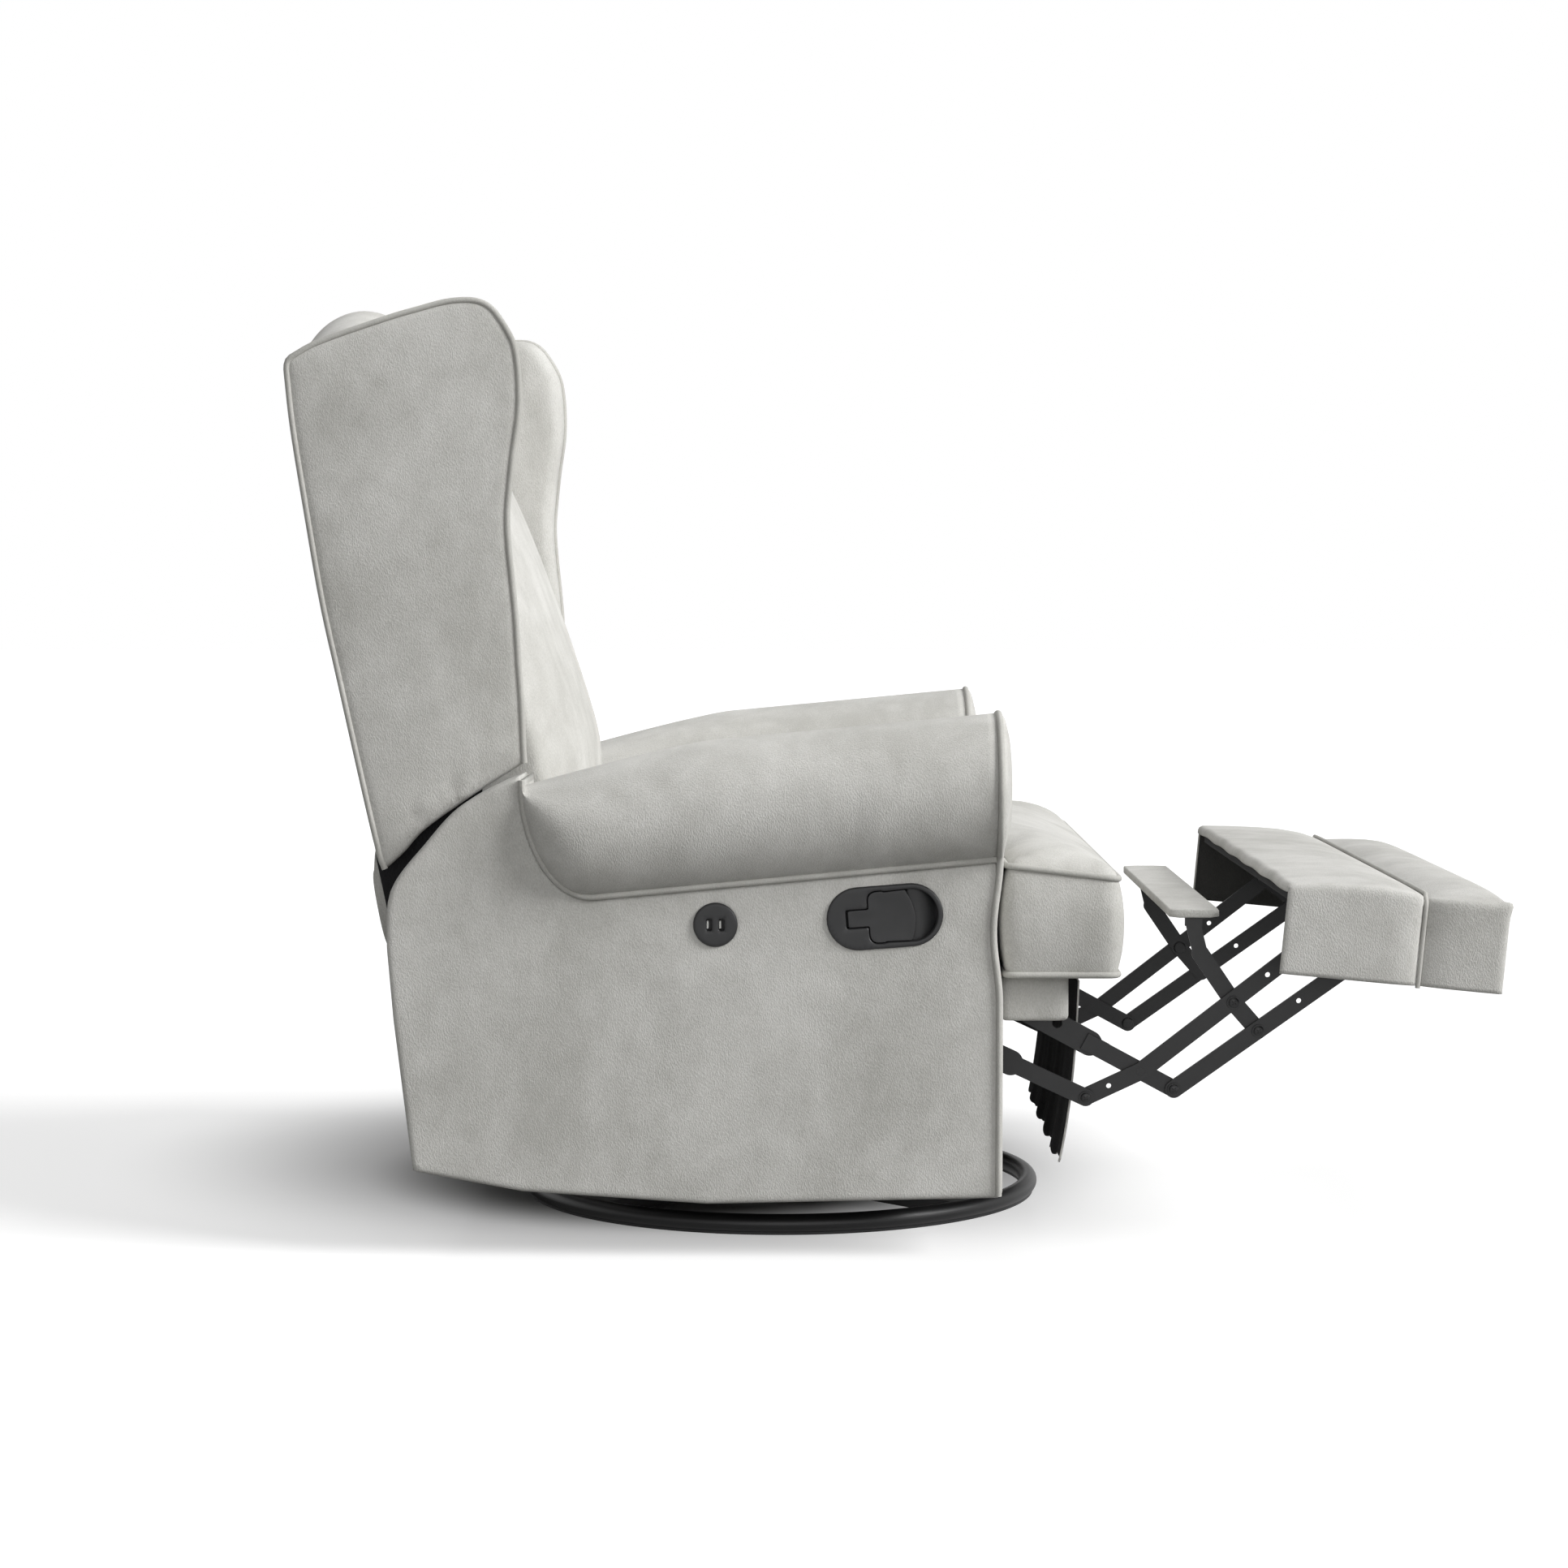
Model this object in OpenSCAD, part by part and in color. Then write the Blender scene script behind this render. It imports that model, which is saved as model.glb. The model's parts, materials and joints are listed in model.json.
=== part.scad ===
// Wingback glider recliner, shown with its footrest open.
// Millimetres. The sitter faces +X, +Y is the sitter's left and +Z is up.
// The origin is on the floor, at the centre of the ring base, on the swivel axis.

/* [Ring base and swivel] */
// Outer diameter of the floor ring
ring_d = 634; // [560:1:700]
// Diameter of the ring's steel tube
ring_tube_d = 22; // [18:1:28]
// Height of the glide strip under the ring
pad_lift = 1.4; // [1:0.1:3]
// Width of the glide strip under the ring
strip_w = 12; // [8:1:16]
// Width of a spoke of the ring base
spoke_w = 38; // [30:1:50]
// Height of a spoke of the ring base
spoke_h = 16; // [12:1:18]
// Diameter of the swivel's lower plate
swivel_d = 190; // [150:1:220]
// Thickness of each swivel plate
swivel_plate_t = 5; // [4:0.5:8]
// Height of the ball race between the swivel plates
race_h = 9; // [7:0.5:14]
// Diameter of the swivel's centre pin
swivel_pin_d = 22; // [16:1:28]

/* [Glider] */
// Length of a glide link between its pins
glide_link_len = 150; // [130:1:160]
// Distance between the front and rear glide links
glide_base = 300; // [260:1:330]
// How far the front glide pins lie in front of the swivel axis
glide_front_x = 130; // [110:1:150]
// Height of the upper glide pins above the floor
glide_top_z = 236; // [226:1:244]
// Width of a glide link
glide_link_w = 30; // [24:1:36]
// Thickness of a glide link
glide_link_t = 4; // [3:0.5:5]
// Diameter of a glide pin
glide_pin_d = 12; // [10:0.5:14]
// Distance from the centre to the outside of a base upright
upright_y = 240; // [225:1:244]
// Thickness of a base upright
upright_t = 6; // [4:0.5:10]
// Width of a base upright
upright_w = 44; // [36:1:56]

/* [Seat box] */
// Distance from the centre to the inside of a mechanism plate
plate_y = 298; // [296:0.5:301]
// Thickness of a mechanism plate
plate_t = 4; // [3:0.5:4.5]
// Thickness of a seat side rail
rail_t = 20; // [18:1:24]
// Height of the seat side rails
rail_h = 46; // [40:1:50]
// Height of the top of the seat rails
rail_top_z = 308.5; // [306:0.5:310]
// Height of the seat's cross rails
cross_h = 25; // [20:1:25]
// Thickness of the seat's cross rails
cross_t = 24; // [18:1:24]
// Front end of the seat side rails
seat_front_x = 303; // [296:1:304]
// Rear end of the seat side rails
seat_rear_x = -250; // [-256:1:-244]
// Thickness of the elastic webbing
webbing_t = 2.5; // [2:0.1:2.8]
// Width of one webbing strap
webbing_w = 50; // [40:1:60]
// Number of webbing straps
webbing_n = 7; // [5:1:8]
// Diameter of the two cross tubes that join the mechanism plates
cross_tube_d = 25; // [20:1:28]

/* [Seat cushion] */
// Half of the cushion's width between the arms
cushion_half_w = 296; // [280:1:297]
// Half of the cushion's width in front of the arms
ear_half_w = 430; // [410:1:440]
// Front of the cushion's nose
cushion_nose_x = 384; // [370:1:400]
// Rear of the cushion
cushion_rear_x = -216; // [-224:1:-200]
// Height of the upper seam beside the arms
cushion_seam_z = 438; // [425:1:445]
// How far the upper seam falls towards the nose
seam_fall = 15; // [0:1:25]
// Rise of the crown over the upper seam
cushion_crown = 40; // [20:1:50]
// How far the sides draw in at the seams
side_draw = 7; // [3:1:12]

/* [Arms] */
// Distance from the centre to the outside of a side panel
panel_y = 448; // [440:1:460]
// Thickness of an upholstered side panel
panel_t = 7; // [5:0.5:10]
// Length of the side panel
panel_len = 682; // [660:1:700]
// Height of the side panel
panel_h = 476; // [460:1:490]
// How far the side panel runs past the end of the arm
panel_lap = 8; // [6:0.5:9]
// Height of the side panel's lower edge above the floor
panel_low_z = 61; // [50:1:80]
// Front end of the arm
arm_front_x = 242; // [236:1:244]
// Radius of the rolled arm
roll_r = 85; // [70:1:92]
// Distance from the centre to the roll's axis
roll_y = 405; // [398:1:412]
// Height of the roll's axis above the ring's centre
roll_z = 497; // [490:1:505]
// Rise of the roll towards the front, as a slope
roll_slope = 0.0946; // [0:0.0001:0.12]
// Depth from the roll's axis to the flat underneath
roll_flat = 74; // [66:1:78]
// Length of the roll's rounded rear end
roll_tail = 76; // [50:1:90]
// How far the padded front of the roll swells
roll_swell = 18; // [8:1:24]
// Gap between the roll's rear end and the top corner of the side panel
roll_end_gap = 2.3; // [1.5:0.1:8]
// Thickness of the arm's frame boards
board_t = 12; // [10:1:16]
// Height of the frame's lower rail
low_rail_h = 50; // [40:1:70]
// Width of the frame's posts
post_w = 36; // [28:1:44]
// Height of the frame's upper rail
top_rail_h = 14; // [10:1:16]
// Thickness of the padded board on the front of the arm
arm_front_t = 9; // [6:0.5:10]
// Thickness of the padding on the arm's inner face
inner_pad_t = 4.5; // [3:0.5:4.5]

/* [Back] */
// Lean of the back from upright, in degrees
back_lean = 11.2; // [5:0.1:16]
// Front edge of the wing in front of the back's rear plane
wing_d = 265; // [240:1:275]
// Height of the wing along the back
wing_h = 615; // [560:1:660]
// Distance from the centre to the outside of a wing
wing_y = 350; // [344:1:352]
// Thickness of a wing at its edge
wing_t = 34; // [26:1:40]
// How far a wing's faces swell
wing_swell = 7; // [2:1:7]
// Half of the back cushion's width
back_half_w = 290; // [276:1:291]
// Height of the back cushion's top along the back
back_top_v = 640; // [600:1:650]
// Height of the back cushion's lower end along the back
back_low_v = 20; // [14:1:40]
// Depth of the back cushion at the lumbar swell
lumbar_d = 240; // [200:1:242]
// Thickness of the back's wooden posts
back_post_t = 20; // [18:1:22]
// Depth of the back's wooden posts
back_post_d = 28; // [24:1:28]
// Thickness of the padded rear panel
outback_t = 16; // [10:1:22]
// How far the rear panel hangs below the wings
outback_drop = 92; // [70:1:100]

/* [Footrest linkage] */
// Width of the link bars
bar_w = 20; // [16:0.5:20.4]
// Width of the links' wide rear parts
bar_wide_w = 29; // [24:1:32]
// Thickness of the link bars
bar_t = 4; // [3:0.25:4]
// Clearance between neighbouring bars
bar_gap = 0.4; // [0.3:0.05:0.5]
// Distance from the centre to the inside of the link pair that carries the footrest
bar_y = 285; // [284:0.5:285.5]
// Diameter of a link rivet
rivet_d = 10; // [8:0.5:12]
// Diameter of a screw head on the links
head_d = 15; // [12:0.5:16]
// Height of a screw head on the links
head_h = 2.6; // [2:0.1:3]
// Diameter of the spare holes in the bars
spare_hole_d = 6; // [4:0.5:7]

/* [Footrest] */
// Half of the footrest's width
footrest_half_w = 433; // [420:1:440]
// Length of the footrest from rear to front
footrest_len = 250; // [240:1:260]
// Length of the rear pad
pad1_len = 150; // [130:1:160]
// Slope of the footrest's top, in degrees
footrest_slope = 5.3; // [0:0.1:8]
// Thickness of the footrest pads at the edge
pad_edge_t = 24; // [20:1:26]
// Rise of the crown of the pads
pad_crown = 26; // [14:1:30]
// Thickness of the footrest's plywood board
footboard_t = 9; // [8:0.5:11]
// Thickness of the footrest's hanging cloth
skirt_t = 4; // [3:0.5:5]
// Drop of the footrest's hanging cloth below the top edge
skirt_drop = 98; // [80:1:105]
// Half of the flap pad's width
flap_half_w = 292; // [286:1:295]
// Depth of the flap pad
flap_d = 57; // [50:1:64]
// Thickness of the flap pad
flap_t = 10; // [8:1:12]

/* [Front rail and curtain] */
// Front of the upholstered rail under the cushion
front_rail_x = 323; // [318:1:326]
// Half of the front rail's width
front_rail_half_w = 402; // [400:1:426]
// Height of the front rail's lower edge
front_rail_low_z = 266; // [266:1:275]
// Half of the curtain's width
curtain_half_w = 270; // [240:1:273]
// Height of the curtain's lower hem
curtain_low_z = 88; // [70:1:120]
// Thickness of the curtain's cloth
curtain_t = 3; // [2:0.5:4]
// Depth of the curtain's folds
curtain_fold = 5; // [2:0.5:5]

/* [Handle and charging sockets] */
// Length of the handle's cup
cup_len = 129; // [110:1:140]
// Height of the handle's cup
cup_h = 70; // [60:1:74]
// Depth of the handle's cup behind the panel
cup_depth = 26; // [20:1:30]
// Wall of the handle's cup
cup_wall = 5; // [4:0.5:7]
// How far the cup's flange stands off the panel
flange_t = 3; // [2:0.5:5]
// Tilt of the handle's cup, in degrees
cup_tilt = 4.5; // [0:0.1:8]
// Place of the handle's cup along the arm
cup_x = 119; // [100:1:130]
// Height of the handle's cup
cup_z = 382; // [372:1:384]
// Diameter of the charging sockets' flange
socket_d = 49; // [44:1:56]
// Place of the charging sockets along the arm
socket_x = -68; // [-90:1:-50]
// Height of the charging sockets
socket_z = 373; // [360:1:376]
// Width of one charging slot
slot_w = 5.2; // [4.6:0.1:6]
// Height of one charging slot
slot_h = 12.4; // [11:0.1:14]

/* [Hidden] */
$fn = 48;

// Shared clearances
clear = 0.3;
run_fit = 0.08;
over = 1;
steel = "dimgray";
fabric = "lightgray";

// Ring base
ring_r = (ring_d - ring_tube_d) / 2;
ring_z = pad_lift + ring_tube_d / 2;
pad_h = pad_lift + ring_tube_d * 0.15;
spoke_z = ring_z + ring_tube_d / 2 - spoke_h;
spoke_angle = 45;
swivel_z = spoke_z + spoke_h;
race_d = swivel_d * 0.74;
race_z = swivel_z + swivel_plate_t;
turntable_z = race_z + race_h;
turntable_w = swivel_d * 1.1;

// Glider
beam_h = 24;
beam_w = 40;
beam_z = turntable_z + swivel_plate_t;
glide_rear_x = glide_front_x - glide_base;
glide_low_z = glide_top_z - glide_link_len;
washer_t = 2;
glide_link_y = upright_y + washer_t;
hanger_y = glide_link_y + glide_link_t + washer_t;
hanger_t = 5;
hanger_h = 30;
hanger_arm_w = 45;
washer_d = glide_pin_d * 1.9;
tube_front_x = -60;
tube_rear_x = -196;
tube_z = 268;

// Seat box
rail_y = plate_y + plate_t + clear;
rail_low_z = rail_top_z - rail_h;
side_y = panel_y - panel_t;
block_w = 36;
webbing_z = rail_top_z;
webbing_pitch = 75;
cushion_low_z = rail_top_z + webbing_t + clear;
front_rail_t = front_rail_x - seat_front_x - clear;

// Footrest linkage, side view places [x, z] with the footrest open
long_pin = [230, 288];
short_pin = [176, 240];
cross_pin = [418, 187];
tail_pin = [354, 157];
low_pin = [456, 166];
flap_pin = [524, 267];
flap_end_pin = [553, 234];
rear_pin = [640, 360];
front_pin = [683, 328];
flap_knee = [486, 323];
flap_top = [478, 365];
flap_bar_w = 17;
inner_y = bar_y - bar_gap - bar_t;
deep_y = inner_y - bar_gap - bar_t;
outer_y = bar_y + bar_t + bar_gap;
plate_bar_y = outer_y + bar_t + bar_gap;
long_jog_share = 0.6;
short_jog_share = 0.55;
jog_len = 14;
boss_w = 32;
back_boss_w = 40;
plate_strip_h = 30;
long_spare = [322, 242];
wide_hole_d = 12;
bent_spares = [[381, 170], [563, 299]];
straight_spare = [599, 269];

// Back
back_foot = [-446, 425];
back_pin = [-285, 320];
bracket_t = 4;
bracket_y = plate_y - washer_t - bracket_t;
post_y = bracket_y - back_post_t;
post_d = 12;
back_rear_d = post_d + back_post_d + clear;
wing_in_y = wing_y - wing_swell - wing_t;

// Footrest
foot_rear = [564, 415];
skirt_lean = 3;
skirt_front_lean = 12;
board_top = -pad_edge_t;
board_in = 2;
lug_x = 67.5;
lug_len = 90;
lug_w = 24;
bracket_lap = 16;

// Arms
inner_front_x = arm_front_x - over;
arm_face_x = inner_front_x + clear + arm_front_t;
inner_rear_x = cushion_rear_x - side_draw;
cap_t = 6;
cap_w = 70;
frame_lift = 24;
frame_heel = 22;
frame_in = 37.5;
panel_gap = 1.5;
panel_rear_x = arm_front_x + panel_lap - panel_len;
tail_h = 129;
roll_round = 36;
roll_in_y = plate_y + over;
inner_fall = 55;
socket_barrel_d = 41;
rear_panel_t = 8;
rear_panel_low_z = 104;
rear_panel_top_z = 225;

// Front curtain
curtain_stand = 23;
curtain_belly = 9;
curtain_fall = 22;
curtain_hang = 22;
strip_in = 34;
strip_d = 24;
strip_h = 12;
curtain_n = 28;
curtain_rows = 7;
curtain_folds = 4.5;

// Handle and charging sockets, drawn from the cup's centre
paddle_t = 6;
paddle_len = 46;
paddle_r = 43.4;
tab_len = 23;
tab_h = 20;
tab_lap = 4;
paddle_y = panel_y + flange_t - paddle_t - over;
hinge_pin_d = 3;
hinge_in = 24;
hinge_x = hinge_in - cup_len / 2;
body_x = hinge_x + tab_len;
block_in = 18;
block_len = 27;
notch_in = 6;
slot_gap = 13.8;
slot_depth = 12;
socket_depth = 24;
tongue_t = 2;

function roll_axis_z(x) = roll_z + roll_slope * x;
function roll_low_z(x) = roll_axis_z(x) - roll_flat;

// A flat outline in the side view, drawn out in Y from y0 to y0 + t
module xz(y0, t) translate([0, y0 + t, 0]) rotate([90, 0, 0]) linear_extrude(t) children();

// The piece as drawn on the sitter's left, or its mirror image on the right
module on_side(left) {
    if (left) children();
    else mirror([0, 1, 0]) children();
}

// Both sides in one piece
module both_sides() {
    children();
    mirror([0, 1, 0]) children();
}

// A bar's outline with round ends between two places
module bar(a, b, w) {
    translate(a) rotate(atan2(b[1] - a[1], b[0] - a[0])) {
        circle(d = w);
        translate([0, -w / 2]) square([norm(b - a), w]);
        translate([norm(b - a), 0]) circle(d = w);
    }
}

// A round pin along Y at a side view place
module pin(p, y0, y1, d) translate([p[0], y1, p[1]]) rotate([90, 0, 0]) cylinder(d = d, h = y1 - y0);

// A closed skin through rings of equal count, with a point over each end
module loft(rings) {
    n = len(rings[0]);
    m = len(rings);
    ends = [[for (k = [0:2]) sum_at(rings[0], k) / n], [for (k = [0:2]) sum_at(rings[m - 1], k) / n]];
    polyhedron(
        points = concat([for (r = rings) for (p = r) p], ends),
        faces = concat(
            [for (i = [0:m - 2]) for (j = [0:n - 1]) [(i + 1) * n + (j + 1) % n, i * n + (j + 1) % n, i * n + j]],
            [for (i = [0:m - 2]) for (j = [0:n - 1]) [(i + 1) * n + j, (i + 1) * n + (j + 1) % n, i * n + j]],
            [for (j = [0:n - 1]) [n * m, j, (j + 1) % n]],
            [for (j = [0:n - 1]) [n * m + 1, (m - 1) * n + (j + 1) % n, (m - 1) * n + j]]));
}

function sum_at(list, k, i = 0) = i == len(list) ? 0 : list[i][k] + sum_at(list, k, i + 1);

// Ring base
module base_ring() color("black") translate([0, 0, ring_z]) rotate_extrude($fn = 96)
    translate([ring_r, 0]) circle(d = ring_tube_d);

module glide_strip() color("black") difference() {
    rotate_extrude($fn = 96) translate([ring_r - strip_w / 2, 0]) square([strip_w, pad_h]);
    translate([0, 0, ring_z]) rotate_extrude($fn = 96) translate([ring_r, 0]) circle(d = ring_tube_d + 2 * run_fit);
}

module base_spokes() color("black") difference() {
    union() {
        for (k = [0:1]) rotate(spoke_angle + 90 * k) translate([-ring_r, -spoke_w / 2, spoke_z])
            cube([2 * ring_r, spoke_w, spoke_h]);
    }
    base_ring();
}

module swivel_lower_plate() color(steel) {
    translate([0, 0, swivel_z]) cylinder(d = swivel_d, h = swivel_plate_t);
    translate([0, 0, swivel_z]) cylinder(d = swivel_pin_d, h = race_h + 3 * swivel_plate_t);
}

module swivel_race() color("silver") difference() {
    translate([0, 0, race_z]) cylinder(d = race_d, h = race_h - clear);
    translate([0, 0, race_z - over]) cylinder(d = race_d - 2 * race_h, h = race_h + 2 * over);
}

module swivel_upper_plate() color(steel) difference() {
    translate([-turntable_w / 2, -turntable_w / 2, turntable_z]) cube([turntable_w, turntable_w, swivel_plate_t]);
    translate([0, 0, turntable_z - over]) cylinder(d = swivel_pin_d + 2 * run_fit, h = swivel_plate_t + 2 * over);
}

// Glider
module glide_base_frame() color(steel) {
    beam_in = upright_y - upright_t;
    for (x = [glide_front_x, glide_rear_x]) translate([x - beam_w / 2, -beam_in, beam_z])
        cube([beam_w, 2 * beam_in, beam_h]);
    for (s = [-1, 1]) translate([glide_rear_x + beam_w / 2, s * turntable_w / 3 - beam_w / 2, beam_z])
        cube([glide_base - beam_w, beam_w, beam_h]);
    both_sides() for (x = [glide_front_x, glide_rear_x]) {
        xz(beam_in, upright_t) {
            translate([x - upright_w / 2, beam_z]) square([upright_w, glide_top_z - beam_z - glide_pin_d]);
            translate([x, glide_top_z]) circle(d = upright_w * 0.7);
        }
        pin([x, glide_top_z], beam_in, glide_link_y + glide_link_t + clear, glide_pin_d);
        pin([x, glide_top_z], upright_y, glide_link_y - clear, washer_d);
    }
}

module glide_link(x) color(steel) difference() {
    xz(glide_link_y, glide_link_t) bar([x, glide_low_z], [x, glide_top_z], glide_link_w);
    for (z = [glide_low_z, glide_top_z])
        pin([x, z], glide_link_y - over, glide_link_y + glide_link_t + over, glide_pin_d + 2 * run_fit);
}

module glide_hanger() color(steel) {
    difference() {
        xz(hanger_y, hanger_t) {
            bar([glide_rear_x, glide_low_z], [glide_front_x, glide_low_z], hanger_h);
            bar([tube_rear_x, glide_low_z], [tube_rear_x, tube_z], hanger_arm_w);
            bar([tube_front_x, glide_low_z], [tube_front_x, tube_z], hanger_arm_w);
        }
        for (x = [tube_front_x, tube_rear_x])
            pin([x, tube_z], hanger_y - over, hanger_y + hanger_t + over, cross_tube_d);
    }
    for (x = [glide_front_x, glide_rear_x]) {
        pin([x, glide_low_z], glide_link_y - clear, hanger_y, glide_pin_d);
        pin([x, glide_low_z], glide_link_y + glide_link_t + clear, hanger_y, washer_d);
    }
}

module cross_tubes() color(steel) for (x = [tube_front_x, tube_rear_x]) difference() {
    pin([x, tube_z], -plate_y, plate_y, cross_tube_d);
    pin([x, tube_z], -plate_y - over, plate_y + over, cross_tube_d - bar_t);
}

// Mechanism plates with the fixed pins of the linkage and of the back
module mechanism_plate() color(steel) {
    xz(plate_y, plate_t) {
        translate([back_pin[0], tube_z - plate_strip_h / 2]) square([long_pin[0] - back_pin[0], plate_strip_h]);
        bar([short_pin[0], tube_z], short_pin, boss_w);
        bar([long_pin[0], tube_z], long_pin, boss_w);
        bar([back_pin[0], tube_z], back_pin, back_boss_w);
    }
    pin(long_pin, deep_y - head_h, plate_y, rivet_d);
    pin(long_pin, deep_y - head_h, deep_y - clear, head_d);
    pin(long_pin, deep_y + bar_t + clear, plate_y, head_d);
    pin(short_pin, outer_y - head_h, plate_y, rivet_d);
    pin(short_pin, outer_y - head_h, outer_y - clear, head_d);
    pin(back_pin, bracket_y - head_h, plate_y, rivet_d);
    pin(back_pin, bracket_y - head_h, bracket_y - clear, head_d);
}

// Seat box
module seat_frame() color("burlywood") {
    both_sides() translate([seat_rear_x, rail_y, rail_low_z]) cube([seat_front_x - seat_rear_x, rail_t, rail_h]);
    for (x = [seat_rear_x, seat_front_x - cross_t]) translate([x, -rail_y, rail_top_z - cross_h])
        cube([cross_t, 2 * rail_y, cross_h]);
}

module seat_webbing() color("dimgray") for (k = [0:webbing_n - 1])
    translate([seat_rear_x, (k - (webbing_n - 1) / 2) * webbing_pitch - webbing_w / 2, webbing_z])
        cube([seat_front_x - seat_rear_x, webbing_w, webbing_t]);

// Seat cushion: rings across it from the rear to the nose
arc_n = 24;
ear_gap = 6;
ear_rear_x = arm_front_x + roll_swell + ear_gap;
cushion_x_shares = [0, 0.05, 0.33, 0.65, 0.92, 1];
rear_crown_share = 0.55;
nose_shares = [[0, 1], [0.5, 0.95], [0.82, 0.62], [0.93, 0.4], [1, 0.25]];

function crown_share(u) = pow(1 - u * u, 0.6);

function cushion_side(x, w, z0, z1, s) = let (h = z1 - z0) [
    [x, s * (w - side_draw / 3), z0 + h / 4], [x, s * w, z0 + h / 2], [x, s * (w - side_draw / 3), z1 - h / 4]];

function cushion_ring(x, w, z0, z1, crown) = let (r = cushion_side(x, w, z0, z1, -1)) concat(
    [[x, 0, z0], [x, w - side_draw, z0]],
    cushion_side(x, w, z0, z1, 1),
    [for (k = [0:arc_n]) let (u = cos(180 * k / arc_n)) [x, u * (w - side_draw), z1 + crown * crown_share(u)]],
    [r[2], r[1], r[0], [x, side_draw - w, z0]]);

module seat_cushion() color(fabric) loft(concat(
    [for (s = cushion_x_shares) let (draw = s == 0 ? side_draw : 0)
        cushion_ring(min(cushion_rear_x + s * (ear_rear_x - cushion_rear_x), ear_rear_x - over),
            cushion_half_w - draw, cushion_low_z + draw,
            cushion_seam_z - 2 * draw, cushion_crown * (rear_crown_share + (1 - rear_crown_share) * s))],
    [for (t = nose_shares) let (draw = t[0] == 1 ? 2 * side_draw : (t[0] == 0 ? side_draw : 0))
        cushion_ring(ear_rear_x + t[0] * (cushion_nose_x - ear_rear_x), ear_half_w - draw, cushion_low_z + draw,
            cushion_seam_z - seam_fall * t[0] - draw, cushion_crown * t[1])]));

// Arms, drawn on the sitter's left
rear_shares = [[0.218, 1], [0.176, 0.975], [0.117, 0.926], [0.065, 0.845], [0.007, 0.733], [0, 0.6], [0.01, 0.431],
    [0.04, 0.076]];
low_shares = [[0.218, 0.029], [0.519, 0], [0.997, 0.015], [1, 0.03], [0.99, 0.8]];
tail_n = 8;
function on_panel(p) = [panel_rear_x + p[0] * panel_len, panel_low_z + p[1] * panel_h];
roll_rear_x = on_panel(rear_shares[0])[0] + roll_end_gap;

// Lower edge of the roll on the side panel, from the front to the top of its rear end
function roll_edge(in) = concat(
    [[arm_front_x, roll_low_z(arm_front_x) - in]],
    [for (k = [0:tail_n]) let (a = 90 * k / tail_n)
        [roll_rear_x + (roll_tail + in) * (1 - sin(a)) - in,
            roll_low_z(roll_rear_x + roll_tail) + tail_h * (1 - cos(a)) - in * cos(a)]]);

module panel_outline()
    polygon(concat([for (p = concat(rear_shares, low_shares)) on_panel(p)], roll_edge(panel_gap)));

// The handle cup's stadium outline, drawn in by d
module cup_flat(d) bar([(cup_h - cup_len) / 2, 0], [(cup_len - cup_h) / 2, 0], cup_h - 2 * d);

module side_panel(left) color(fabric) xz(side_y, panel_t) difference() {
    panel_outline();
    if (!left) {
        translate([cup_x, cup_z]) rotate(cup_tilt) cup_flat(cup_wall - 2 * clear);
        translate([socket_x, socket_z]) circle(d = socket_barrel_d + 2 * clear);
    }
}

// The arm frame's top rail from x0 to x1 under the roll
module top_rail(x0, x1) polygon([[x0, roll_low_z(x0) - over / 2], [x0, roll_low_z(x0) - top_rail_h],
    [x1, roll_low_z(x1) - top_rail_h], [x1, roll_low_z(x1) - over / 2]]);

// The inner face of an arm, above the seat rails
module inner_outline() polygon([[inner_rear_x, rail_top_z], [inner_front_x, rail_top_z],
    [inner_front_x, roll_low_z(inner_front_x) - over], [inner_rear_x, roll_low_z(inner_rear_x) - over]]);

module arm_frame() color("burlywood") {
    foot_z = panel_low_z + frame_lift;
    rear_x = panel_rear_x + frame_in;
    knee_z = back_foot[1] - low_rail_h;
    top_x = roll_rear_x + roll_tail;
    frame_y = side_y - board_t;
    front_x = arm_front_x - over;
    post_x = arm_front_x - post_w;
    xz(frame_y, board_t) {
        polygon([[rear_x, foot_z + frame_heel], [on_panel(low_shares[0])[0], foot_z], [front_x, foot_z],
            [front_x, foot_z + low_rail_h], [rear_x, foot_z + low_rail_h]]);
        translate([post_x, foot_z]) square([post_w - 2 * over, roll_low_z(post_x) - top_rail_h / 2 - foot_z]);
        polygon([[rear_x, foot_z + frame_heel + over], [rear_x + post_w, foot_z + frame_heel + over],
            [rear_x + post_w / 2, knee_z], [rear_x - post_w / 2, knee_z]]);
        polygon([[rear_x, knee_z - over], [rear_x, knee_z - board_t],
            [top_x + board_t, roll_low_z(top_x) - top_rail_h + 2 * over], [top_x + board_t, roll_low_z(top_x) - over]]);
    }
    for (x = [seat_rear_x, front_x - block_w]) translate([x, rail_y + rail_t, rail_low_z])
        cube([block_w, frame_y - rail_y - rail_t + over, rail_h - over]);
    xz(rail_y + over, board_t) inner_outline();
    xz(rail_y + 2 * over, side_y - rail_y - 3 * over) top_rail(top_x, inner_front_x - over);
}

module arm_inner_pad() color(fabric) xz(rail_y + over - inner_pad_t - clear, inner_pad_t) inner_outline();

// Padded board on the front of the arm, stepped round the end of the seat rail
module arm_front() color(fabric) {
    out_y = side_y - clear;
    low_z = panel_low_z + low_rail_h / 5;
    top_z = roll_low_z(arm_front_x) - clear;
    translate([arm_face_x - arm_front_t, 0, 0]) rotate([90, 0, 90]) linear_extrude(arm_front_t) polygon([
        [rail_y + rail_t + clear, low_z], [out_y, low_z], [out_y, top_z],
        [rail_y + over, top_z], [rail_y + over, rail_top_z + clear], [rail_y + rail_t + clear, rail_top_z + clear]]);
}

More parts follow.
